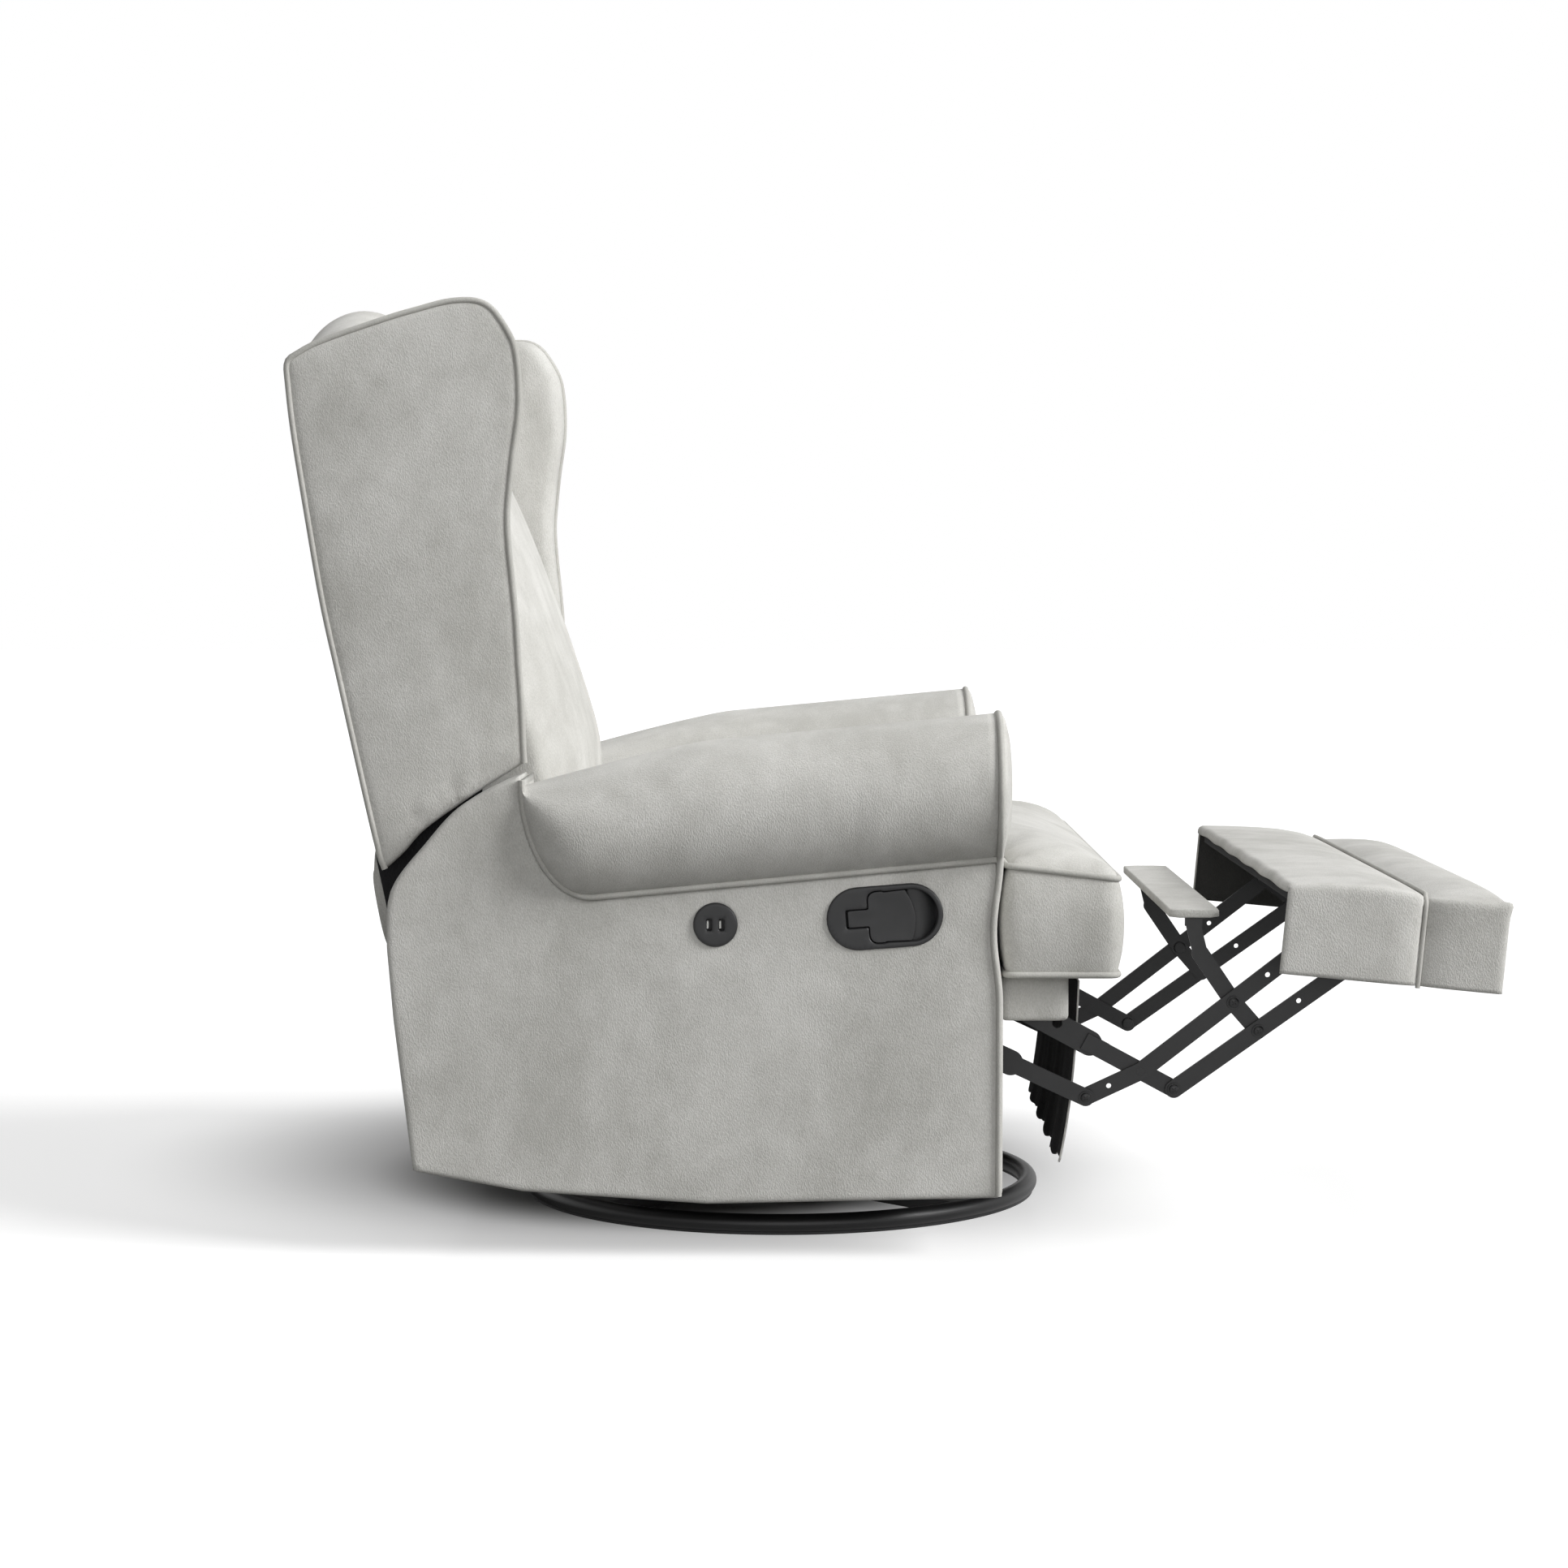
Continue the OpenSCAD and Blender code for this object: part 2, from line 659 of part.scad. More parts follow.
// One ring of the rolled arm: a round top on a flat foot, drawn in by d, its foot lifted, reach wide outwards
function roll_ring(x, d, lift, reach) = let (
    r = roll_r - d,
    zc = roll_axis_z(x),
    z0 = roll_low_z(x) + lift,
    a0 = asin((z0 - zc) / r),
    fall = min(inner_fall, (zc + r - z0) * 0.8),
    inwards = roll_y - roll_in_y - d) concat(
    [[x, roll_in_y + d, z0]],
    [for (k = [0:12]) let (a = a0 + (90 - a0) * k / 12) [x, roll_y + (reach - d) * cos(a), zc + r * sin(a)]],
    [for (k = [1:6]) let (a = 90 + 15 * k) [x, roll_y + inwards * cos(a), zc + r - fall + fall * sin(a)]]);

module arm_roll() color(fabric) {
    tail_x = roll_rear_x + roll_tail;
    narrow = roll_r + roll_y - panel_y - 2 * side_draw;
    loft(concat(
        [for (k = [0:6]) let (a = 15 * k, x = roll_rear_x + clear + roll_tail * (1 - cos(a)))
            roll_ring(x, 0, roll_low_z(tail_x) - roll_low_z(x) + tail_h * (1 - sin(a)),
                roll_r - narrow * (1 - sin(a)))],
        [for (s = [0.3, 0.65, 1]) roll_ring(tail_x + s * (arm_front_x - tail_x), 0, 0, roll_r)],
        [for (k = [1:4]) let (a = 22 * k, d = roll_round * (1 - cos(a)))
            roll_ring(arm_front_x + roll_swell * sin(a), d, d, roll_r)]));
}

// Upholstered strip along the rear edge of the arm, behind the back's swing
module arm_cap() color(fabric) xz(side_y - board_t - cap_w, cap_w + board_t - clear) difference() {
    polygon([for (p = rear_shares) on_panel(p)]);
    translate([cap_t, -cap_t * 0.8])
        polygon([for (p = concat(rear_shares, [[0.1, -0.1], [0.4, 0.1], [0.4, 1]])) on_panel(p)]);
}

// Rear edge of the side panels at a height
function rear_edge_x(z) = let (low = on_panel(rear_shares[7]), high = on_panel(rear_shares[6]))
    low[0] + (high[0] - low[0]) * (z - low[1]) / (high[1] - low[1]);

module rear_panel() color(fabric) {
    half_w = side_y - board_t - clear;
    in = cap_t + 2 * clear + over / 2;
    x0 = rear_edge_x(rear_panel_low_z) + in;
    x1 = rear_edge_x(rear_panel_top_z) + in;
    xz(-half_w, 2 * half_w) polygon([[x0, rear_panel_low_z], [x0 + rear_panel_t, rear_panel_low_z],
        [x1 + rear_panel_t, rear_panel_top_z], [x1, rear_panel_top_z]]);
}

// Front rail under the cushion, with its returns to the arms
module front_rail() color(fabric) {
    rear_x = front_rail_x - front_rail_t;
    end_x = arm_face_x + clear;
    h = cushion_low_z - clear - front_rail_low_z;
    translate([rear_x, -front_rail_half_w, front_rail_low_z]) cube([front_rail_t, 2 * front_rail_half_w, h]);
    both_sides() translate([end_x, front_rail_half_w - front_rail_t, front_rail_low_z])
        cube([rear_x - end_x, front_rail_t, h]);
}

// Cloth curtain that hangs from the front rail: s runs up it and u across it
function curtain_x(s, u) = front_rail_x + curtain_stand
    + curtain_belly * sin(126 * (1 - s)) - curtain_fall * pow(1 - s, 2)
    + curtain_fold * (1 - s) * sin(360 * curtain_folds * u + 60 * s);

function curtain_z(s, u) = let (low = curtain_low_z + 2 * curtain_fold * pow(sin(360 * curtain_folds * u), 2))
    low + (cushion_low_z - curtain_hang - low) * s;

function curtain_row(s, t, order) = [for (j = order) let (u = j / curtain_n)
    [curtain_x(s, u) + t, curtain_half_w * (2 * u - 1), curtain_z(s, u)]];

// As loft, but its flat ends are strips between the two long sides of a ring
module loft_open(rings) {
    n = len(rings[0]);
    m = len(rings);
    b = (m - 1) * n;
    polyhedron(
        points = [for (r = rings) for (p = r) p],
        faces = concat(
            [for (i = [0:m - 2]) for (j = [0:n - 1]) [(i + 1) * n + (j + 1) % n, i * n + (j + 1) % n, i * n + j]],
            [for (i = [0:m - 2]) for (j = [0:n - 1]) [(i + 1) * n + j, (i + 1) * n + (j + 1) % n, i * n + j]],
            [for (j = [0:n / 2 - 2]) each [[j, j + 1, n - 2 - j], [j, n - 2 - j, n - 1 - j]]],
            [for (j = [0:n / 2 - 2]) each
                [[b + j, b + n - 2 - j, b + j + 1], [b + j, b + n - 1 - j, b + n - 2 - j]]]));
}

module front_curtain() color("dimgray") {
    loft_open([for (i = [0:curtain_rows]) let (s = i / curtain_rows)
        concat(curtain_row(s, curtain_t, [0:curtain_n]), curtain_row(s, 0, [curtain_n:-1:0]))]);
    translate([front_rail_x, -curtain_half_w, cushion_low_z - strip_in])
        cube([strip_d, 2 * curtain_half_w, strip_h]);
}

// Handle cup, its paddle and the charging sockets, on the sitter's right
module on_cup() translate([cup_x, 0, cup_z]) rotate([0, -cup_tilt, 0]) children();

module handle_cup() color("dimgray") mirror([0, 1, 0]) on_cup() {
    xz(panel_y, flange_t) difference() {
        cup_flat(0);
        cup_flat(2 * cup_wall);
    }
    xz(panel_y - cup_depth, cup_depth) difference() {
        cup_flat(cup_wall);
        cup_flat(2 * cup_wall);
    }
    xz(panel_y - cup_depth - cup_wall / 2, cup_wall / 2) cup_flat(cup_wall);
    xz(panel_y - cup_depth, cup_depth + flange_t - over) difference() {
        translate([block_in - cup_len / 2, 2 * cup_wall - cup_h / 2 - over])
            square([block_len, cup_h - 4 * cup_wall + 2 * over]);
        translate([hinge_x - notch_in, -tab_h / 2 - over]) square([cup_len, tab_h + 2 * over]);
    }
    translate([hinge_x, paddle_y + paddle_t / 2, -tab_h / 2 - 2 * over])
        cylinder(d = hinge_pin_d, h = tab_h + 4 * over);
}

module handle_paddle() color("dimgray") mirror([0, 1, 0]) on_cup() difference() {
    xz(paddle_y, paddle_t) {
        translate([hinge_x - tab_lap, -tab_h / 2]) square([tab_len + tab_lap + over, tab_h]);
        intersection() {
            translate([body_x, 2 * cup_wall - cup_h / 2 + over])
                square([paddle_len, cup_h - 4 * cup_wall - 2 * over]);
            translate([body_x + paddle_len - paddle_r, 0]) circle(r = paddle_r);
        }
    }
    translate([hinge_x, paddle_y + paddle_t / 2, -tab_h / 2 - over])
        cylinder(d = hinge_pin_d + 2 * run_fit, h = tab_h + 2 * over);
}

module socket_body() color("dimgray") mirror([0, 1, 0]) difference() {
    union() {
        pin([socket_x, socket_z], panel_y, panel_y + flange_t + over, socket_d);
        pin([socket_x, socket_z], panel_y - socket_depth, panel_y + over, socket_barrel_d);
    }
    xz(panel_y - slot_depth, slot_depth + flange_t + 2 * over) for (s = [-1, 1])
        translate([socket_x + (s * slot_gap - slot_w) / 2, socket_z - slot_h / 2]) square([slot_w, slot_h]);
}

module socket_tongues() color("white") mirror([0, 1, 0]) xz(panel_y - slot_depth, slot_depth) for (s = [-1, 1])
    translate([socket_x + (s * slot_gap - slot_w) / 2, socket_z - slot_h / 2 + tongue_t])
        square([tongue_t, slot_h - 2 * tongue_t]);

// Back, drawn upright at its foot and leaned into place: [depth, y, height]
module on_back() translate([back_foot[0], 0, back_foot[1]]) rotate([0, -back_lean, 0]) children();

wing_shares = [[0.184, 0.978], [0.479, 0.993], [0.763, 1], [0.846, 0.996], [0.906, 0.985], [0.954, 0.956],
    [0.997, 0.907], [1, 0.864], [0.984, 0.812], [0.958, 0.765], [0.907, 0.703], [0.866, 0.647],
    [0.828, 0.589], [0.807, 0.527], [0.789, 0.446], [0.771, 0.381], [0.734, 0.275], [0.676, 0.143],
    [0.565, 0.125], [0.474, 0.11], [0.315, 0.081], [0.18, 0.053], [0.082, 0.021], [0, 0], [-0.022, 0.028],
    [-0.031, 0.109], [-0.042, 0.361], [-0.047, 0.508], [-0.021, 0.823], [0.005, 0.949], [0.041, 0.959]];
wing_mid_share = [0.45, 0.5];

// Wing: its outline drawn in towards the middle over swelling faces, at [share of the outline, share of the swell]
wing_layer_shares = [[0.45, 1], [0.75, 0.8], [0.94, 0.35], [1, 0]];

function wing_ring(s, y) = [for (p = wing_shares) let (q = wing_mid_share + s * (p - wing_mid_share))
    [q[0] * wing_d, y, q[1] * wing_h]];

module wing() color(fabric) on_back() loft(concat(
    [for (l = wing_layer_shares) wing_ring(l[0], wing_in_y - wing_swell * l[1])],
    [for (k = [3:-1:0]) let (l = wing_layer_shares[k]) wing_ring(l[0], wing_in_y + wing_t + wing_swell * l[1])]));

// Back cushion: rings across it, each at [share of the height, share of the depth, share of the width]
back_row_shares = [[0, 0.93, 0.94], [0.03, 0.985, 0.985], [0.08, 1, 1], [0.2, 0.975, 1], [0.4, 0.905, 1],
    [0.58, 0.82, 1], [0.75, 0.7, 1], [0.88, 0.56, 0.98], [0.95, 0.46, 0.94], [0.985, 0.39, 0.88], [1, 0.32, 0.78]];
back_side_share = 0.74;

function back_ring(r) = let (
    v = back_low_v + r[0] * (back_top_v - back_low_v),
    w = back_half_w * r[2],
    f = lumbar_d * r[1],
    e = back_rear_d + (f - back_rear_d) * back_side_share,
    m = (back_rear_d + e) / 2) concat(
    [[back_rear_d, side_draw - w, v], [m, -w, v]],
    [for (k = [0:arc_n]) let (u = -cos(180 * k / arc_n))
        [e + (f - e) * crown_share(u), u * (w - side_draw / 2), v]],
    [[m, w, v], [back_rear_d, w - side_draw, v]]);

module back_cushion() color(fabric) on_back() loft([for (r = back_row_shares) back_ring(r)]);

post_low_v = -outback_drop * 0.8;
post_top_v = back_top_v * 0.9;
back_rail_h = 60;
wing_seat = 1.4;
module back_frame() color("burlywood") on_back() {
    both_sides() {
        translate([post_d, post_y, post_low_v]) cube([back_post_d, back_post_t, post_top_v - post_low_v]);
        for (v = [wing_h * 0.3, wing_h * 0.8]) translate([post_d, bracket_y, v])
            cube([back_post_d, outer_half_w + wing_seat - bracket_y, back_rail_h]);
    }
    for (v = [post_low_v, wing_h * 0.45, post_top_v - back_rail_h]) translate([post_d, -post_y, v])
        cube([back_post_d, 2 * post_y, back_rail_h]);
}

// Padded panel behind the back: rows at [share of its drop below the foot or height above it, share of the width]
outer_half_w = wing_in_y - wing_swell - over;
outback_h = 598;
outback_edge_t = 4;
outer_row_shares = [[-1, 0.98], [-0.9, 1], [0, 1], [0.46, 1], [0.95, 1], [1, 0.97]];
module back_outer_panel() color(fabric) on_back() loft([for (r = outer_row_shares)
    let (v = r[0] * (r[0] < 0 ? outback_drop : outback_h), w = outer_half_w * r[1], d = post_d - over) concat(
    [[d, -w, v]], [[d, w, v]],
    [for (k = [0:8]) let (u = 1 - k / 4) [d - outback_edge_t - outback_t * sqrt(1 - u * u), u * w, v]])]);

// Black cloth that closes the gap beside the rear panel
lining_t = 2;
lining_in = 6;
module back_lining() color("black") on_back() xz(outer_half_w + clear, lining_t) polygon([
    [lining_in - post_d, -outback_drop * 0.9], [lining_in - post_d, -lining_in], [post_d, -lining_in],
    [wing_d * 0.4, wing_h * 0.09], [wing_d * 0.4, 0], [post_d, post_low_v]]);

module back_bracket() color(steel) difference() {
    post_x = post_d + back_post_d / 2;
    union() {
        xz(bracket_y, bracket_t)
            bar(back_pin, [back_foot[0] + 1.3 * back_post_d, back_foot[1] - bar_wide_w], bar_wide_w);
        on_back() xz(bracket_y, bracket_t) bar([post_x, -bar_wide_w], [post_x, wing_h * 0.25], bar_w * 1.2);
    }
    pin(back_pin, bracket_y - over, bracket_y + bracket_t + over, rivet_d + 2 * run_fit);
}

// Footrest linkage
module bore(p, y0, d) pin(p, y0 - over, y0 + bar_t + over, d);

// A bar that steps from one level to another at a share of its length, wide before the step
module stepped_bar(p, q, share, y_near, y_far) {
    k = p + share * (q - p);
    u = (q - p) / norm(q - p);
    xz(y_near, bar_t) bar(p, k - u * jog_len / 2, bar_wide_w);
    xz(y_far, bar_t) bar(k + u * jog_len / 2, q, bar_w);
    xz(min(y_near, y_far), abs(y_near - y_far) + bar_t) translate(k) rotate(atan2(u[1], u[0]))
        translate([-jog_len, -bar_w / 2]) square([jog_len * 2, bar_w]);
}

module long_swing_link() color("black") both_sides() {
    difference() {
        stepped_bar(long_pin, low_pin, long_jog_share, deep_y, inner_y);
        bore(long_pin, deep_y, rivet_d + 2 * run_fit);
        bore(long_spare, deep_y, wide_hole_d);
    }
    pin(cross_pin, inner_y, bar_y + bar_t, rivet_d);
    pin(low_pin, inner_y, bar_y + bar_t + clear, rivet_d);
    pin(low_pin, bar_y + bar_t + clear, bar_y + bar_t + head_h, head_d);
}

module short_swing_link() color("black") both_sides() {
    difference() {
        stepped_bar(short_pin, tail_pin, short_jog_share, plate_bar_y - bar_gap - bar_t + clear, outer_y);
        bore(short_pin, outer_y, rivet_d + 2 * run_fit);
    }
    pin(tail_pin, outer_y + bar_t, outer_y + bar_t + head_h, head_d);
}

module bent_lift_link() color("black") both_sides() {
    difference() {
        xz(bar_y, bar_t) {
            bar(tail_pin, cross_pin, bar_w);
            bar(cross_pin, rear_pin, bar_w);
        }
        bore(cross_pin, bar_y, rivet_d + 2 * run_fit);
        for (p = bent_spares) bore(p, bar_y, spare_hole_d);
    }
    pin(flap_pin, inner_y, bar_y + bar_t + head_h, rivet_d);
    pin(flap_pin, bar_y + bar_t, bar_y + bar_t + head_h, head_d);
    pin(rear_pin, inner_y, bar_y, rivet_d);
}

module straight_lift_link() color("black") both_sides() {
    difference() {
        xz(bar_y, bar_t) bar(low_pin, front_pin, bar_w);
        bore(low_pin, bar_y, rivet_d + 2 * run_fit);
        bore(straight_spare, bar_y, spare_hole_d);
    }
    pin(flap_end_pin, bar_y + bar_t, bar_y + bar_t + head_h, head_d);
}

module flap_brackets() color("black") both_sides() difference() {
    xz(inner_y, bar_t) {
        bar(flap_end_pin, flap_pin, bar_w);
        bar(flap_pin, flap_knee, bar_w);
        bar(flap_knee, [flap_top[0], flap_top[1] - bar_w / 2], flap_bar_w);
        translate([flap_top[0] - bar_w / 2, flap_top[1] - bar_w / 2]) square([bar_w, bar_w / 2]);
    }
    bore(flap_pin, inner_y, rivet_d + 2 * run_fit);
}

module flap_pad() color(fabric) translate([flap_top[0] - flap_d / 2, -flap_half_w, flap_top[1]])
    cube([flap_d, 2 * flap_half_w, flap_t]);

// Footrest, drawn flat from its rear top edge and sloped into place: [length, y, height]
module on_footrest() translate([foot_rear[0], 0, foot_rear[1]]) rotate([0, footrest_slope, 0]) children();

module footrest_board() color("burlywood") on_footrest() {
    half_w = footrest_half_w - skirt_t - over;
    translate([skirt_t + board_in, -half_w, board_top - footboard_t])
        cube([footrest_len - 2 * (skirt_t + board_in), 2 * half_w, footboard_t]);
}

module footrest_brackets() color("black") both_sides() difference() {
    union() {
        xz(inner_y, bar_t) {
            bar(rear_pin, front_pin, bar_w * 1.3);
            bar(rear_pin, [rear_pin[0] + bracket_lap, rear_pin[1]], bar_w * 0.9);
        }
        on_footrest() translate([lug_x, inner_y - lug_w, board_top - footboard_t - bar_t])
            cube([lug_len, lug_w + bar_t, bar_t]);
    }
    bore(rear_pin, inner_y, rivet_d + 2 * run_fit);
}

module footrest_tube() color("black") pin(front_pin, -inner_y, inner_y, bar_w * 0.8);

// A footrest pad: rings along Y of a low mound, at [share of the width, share of the crown]
pad_shares = [[0, 0], [0.03, 0.25], [0.12, 0.55], [0.3, 0.9], [0.5, 1],
    [0.7, 0.9], [0.88, 0.55], [0.97, 0.25], [1, 0]];
pad_edge_share = 0.72;

function pad_ring(x0, x1, y, c) = let (m = (x0 + x1) / 2, h = (x1 - side_draw / 3) - m) concat(
    [[x1, y, board_top], [x0, y, board_top], [x0, y, -side_draw / 2]],
    [for (k = [0:8]) let (u = -cos(22.5 * k))
        [m + u * h, y, c * (pad_edge_share + (1 - pad_edge_share) * crown_share(u))]],
    [[x1, y, -side_draw / 2]]);

module footrest_pad(x0, x1) color(fabric) on_footrest()
    loft([for (p = pad_shares) pad_ring(x0, x1, (2 * p[0] - 1) * footrest_half_w, pad_crown * p[1])]);

module footrest_skirt() color(fabric) on_footrest() {
    top = board_top - clear;
    front_x = footrest_len - skirt_front_lean;
    both_sides() xz(footrest_half_w - skirt_t, skirt_t)
        polygon([[0, top], [footrest_len, top], [front_x, -skirt_drop], [skirt_lean, -skirt_drop]]);
    translate([front_x - skirt_t, skirt_t / 2 - footrest_half_w, -skirt_drop])
        cube([skirt_t, 2 * footrest_half_w - skirt_t, skirt_drop + top - footboard_t]);
}

base_ring();
base_spokes();
glide_strip();
swivel_lower_plate();
swivel_race();
swivel_upper_plate();
glide_base_frame();
on_side(true) glide_link(glide_front_x);  // glide_link_front_l
on_side(false) glide_link(glide_front_x);  // glide_link_front_r
on_side(true) glide_link(glide_rear_x);  // glide_link_rear_l
on_side(false) glide_link(glide_rear_x);  // glide_link_rear_r
on_side(true) glide_hanger();  // glide_hanger_l
on_side(false) glide_hanger();  // glide_hanger_r
cross_tubes();
on_side(true) mechanism_plate();  // mechanism_plate_l
on_side(false) mechanism_plate();  // mechanism_plate_r
seat_frame();
seat_webbing();
seat_cushion();
on_side(true) arm_frame();  // arm_frame_l
on_side(false) arm_frame();  // arm_frame_r
on_side(true) arm_inner_pad();  // arm_inner_pad_l
on_side(false) arm_inner_pad();  // arm_inner_pad_r
on_side(true) arm_roll();  // arm_roll_l
on_side(false) arm_roll();  // arm_roll_r
on_side(true) side_panel(true);  // side_panel_l
on_side(false) side_panel(false);  // side_panel_r
on_side(true) arm_front();  // arm_front_l
on_side(false) arm_front();  // arm_front_r
on_side(true) arm_cap();  // arm_cap_l
on_side(false) arm_cap();  // arm_cap_r
rear_panel();
front_rail();
front_curtain();
handle_cup();
handle_paddle();
socket_body();
socket_tongues();
back_frame();
back_cushion();
on_side(true) wing();  // wing_l
on_side(false) wing();  // wing_r
back_outer_panel();
on_side(true) back_lining();  // back_lining_l
on_side(false) back_lining();  // back_lining_r
on_side(true) back_bracket();  // back_bracket_l
on_side(false) back_bracket();  // back_bracket_r
long_swing_link();
short_swing_link();
bent_lift_link();
straight_lift_link();
flap_brackets();
flap_pad();
footrest_brackets();
footrest_board();
footrest_tube();
footrest_pad(0, pad1_len - clear);  // footrest_pad_rear
footrest_pad(pad1_len + clear, footrest_len);  // footrest_pad_front
footrest_skirt();
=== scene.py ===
# %% [markdown]
# # Upholstering a wingback glider recliner
# The CAD frame holds the chair's boards, links and pins at their true places. This lesson dresses it: brushed
# upholstery cloth over foam, welt cords in the seams, powder-coated steel and moulded plastic. Each piece is made in
# metres, in the frame's own coordinates, so nothing has to be fitted afterwards.

# %% Load the frame
import json
import math
import bmesh
import bpy
import numpy as np
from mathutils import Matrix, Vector
from mathutils.bvhtree import BVHTree
from mathutils.geometry import delaunay_2d_cdt


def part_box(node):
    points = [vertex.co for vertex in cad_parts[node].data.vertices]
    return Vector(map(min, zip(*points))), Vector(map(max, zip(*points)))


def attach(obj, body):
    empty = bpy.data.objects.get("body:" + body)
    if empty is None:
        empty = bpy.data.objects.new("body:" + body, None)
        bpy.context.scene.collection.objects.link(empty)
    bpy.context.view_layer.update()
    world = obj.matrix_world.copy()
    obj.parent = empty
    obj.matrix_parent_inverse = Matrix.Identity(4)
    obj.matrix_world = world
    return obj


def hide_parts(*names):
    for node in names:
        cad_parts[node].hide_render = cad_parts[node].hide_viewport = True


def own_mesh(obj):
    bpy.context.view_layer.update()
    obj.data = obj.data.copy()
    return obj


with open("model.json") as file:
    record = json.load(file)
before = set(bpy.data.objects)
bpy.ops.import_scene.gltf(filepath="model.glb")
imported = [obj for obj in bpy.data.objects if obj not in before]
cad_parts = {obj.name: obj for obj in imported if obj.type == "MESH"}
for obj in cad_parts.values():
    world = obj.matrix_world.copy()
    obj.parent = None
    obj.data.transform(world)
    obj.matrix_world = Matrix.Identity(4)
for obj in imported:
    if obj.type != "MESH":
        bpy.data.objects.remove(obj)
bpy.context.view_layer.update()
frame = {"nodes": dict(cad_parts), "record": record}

MM = 0.001

# %% [markdown]
# ## The camera
# The camera stands level with the middle of the back and looks through a long lens, so lines across the chair converge
# only a little. A camera can be set by eye or worked out. Here the ring's ellipse gives its height and the edges that
# run across the chair give its lens, because two measured things leave nothing to guess.

# %% Camera
SENSOR_MM = 36
PHOTO_PX = 1932
FOCAL_PX = 4128
CAMERA_PLACE = (0.0407, -4.128, 0.7576)
CAMERA_DOWN, CAMERA_TURN = 3.56, 0.513
camera_data = bpy.data.cameras.new("camera")
camera_data.sensor_width = SENSOR_MM
camera_data.lens = FOCAL_PX / PHOTO_PX * SENSOR_MM
camera = bpy.data.objects.new("camera", camera_data)
camera.location = CAMERA_PLACE
camera.rotation_euler = (math.radians(90 - CAMERA_DOWN), 0, math.radians(CAMERA_TURN))
bpy.context.scene.collection.objects.link(camera)
bpy.context.scene.camera = camera
print("camera: lens", round(camera_data.lens, 1), "mm")

# %% [markdown]
# ## Colours and nodes
# Colours are written as sRGB hex values, as a swatch is measured, and one function turns them to the linear values
# that the shader wants. Nodes could be added one call at a time. One small function that takes a node's settings and
# links together keeps each node on one line, so that a tree reads from top to bottom.

# %% Colour and node helpers
def colour(hex_code):
    """Linear RGBA of an sRGB hex colour."""
    parts = [int(hex_code[i:i + 2], 16) / 255 for i in (1, 3, 5)]
    return tuple(c / 12.92 if c <= 0.04045 else ((c + 0.055) / 1.055) ** 2.4 for c in parts) + (1,)


def add(tree, kind, inputs=None, **settings):
    """Adds a node to a tree. An input is linked if it is given as a socket, else it is set."""
    node = tree.nodes.new(kind)
    for key, value in settings.items():
        setattr(node, key, value)
    for key, value in (inputs or {}).items():
        if isinstance(value, bpy.types.NodeSocket):
            tree.links.new(value, node.inputs[key])
        else:
            node.inputs[key].default_value = value
    return node


def per_mm(size):
    """The texture scale whose features are about that many millimetres across."""
    return 1 / (size * MM)


def material(name, build, **shader):
    """A material whose build function returns the sockets for the shader's inputs."""
    made = bpy.data.materials.new(name)
    made.use_nodes = True
    tree = made.node_tree
    tree.nodes.clear()
    place = add(tree, "ShaderNodeTexCoord").outputs["Object"]
    links = build(tree, place)
    links.update(shader)
    surface = add(tree, "ShaderNodeBsdfPrincipled", links)
    add(tree, "ShaderNodeOutputMaterial", {"Surface": surface.outputs["BSDF"]})
    return made


def two_tones(tree, factor, low, high, start=0.35, end=0.65):
    """A ramp between two hex colours."""
    ramp = add(tree, "ShaderNodeValToRGB", {"Fac": factor})
    ramp.color_ramp.elements[0].position = start
    ramp.color_ramp.elements[0].color = colour(low)
    ramp.color_ramp.elements[1].position = end
    ramp.color_ramp.elements[1].color = colour(high)
    return ramp.outputs["Color"]


print("mid grey #808080 is", round(colour("#808080")[0], 3), "in linear light")

# %% [markdown]
# ## Brushed upholstery cloth
# The cover is a bonded microfibre cloth with a short brushed nap. Close up it has a soft pebble that leans one way, and
# from a step away it is mottled in cloudy patches where the nap lies differently. It could be woven thread by thread,
# but a brushed nap hides its threads, so layered noise is truer to it: one noise for each size that the eye sees. It
# scatters light evenly, with a faint sheen at grazing angles, so it is rough and has no highlight.

# %% Cloth materials
# The sizes of what the eye sees, and how much each adds to the change of tone. The pile's fibres are far finer than a
# pixel, so the nap is drawn as coarse as it needs to show.
GRAIN_MM, NAP_MM, CLOUD_MM, PATCH_MM = 1.5, 0.9, 150, 30
CLOUD_SHARE, PATCH_SHARE, GRAIN_SHARE = 0.56, 0.16, 0.28
GRAIN_DEPTH_MM, NAP_DEPTH_MM = 1.1, 0.4


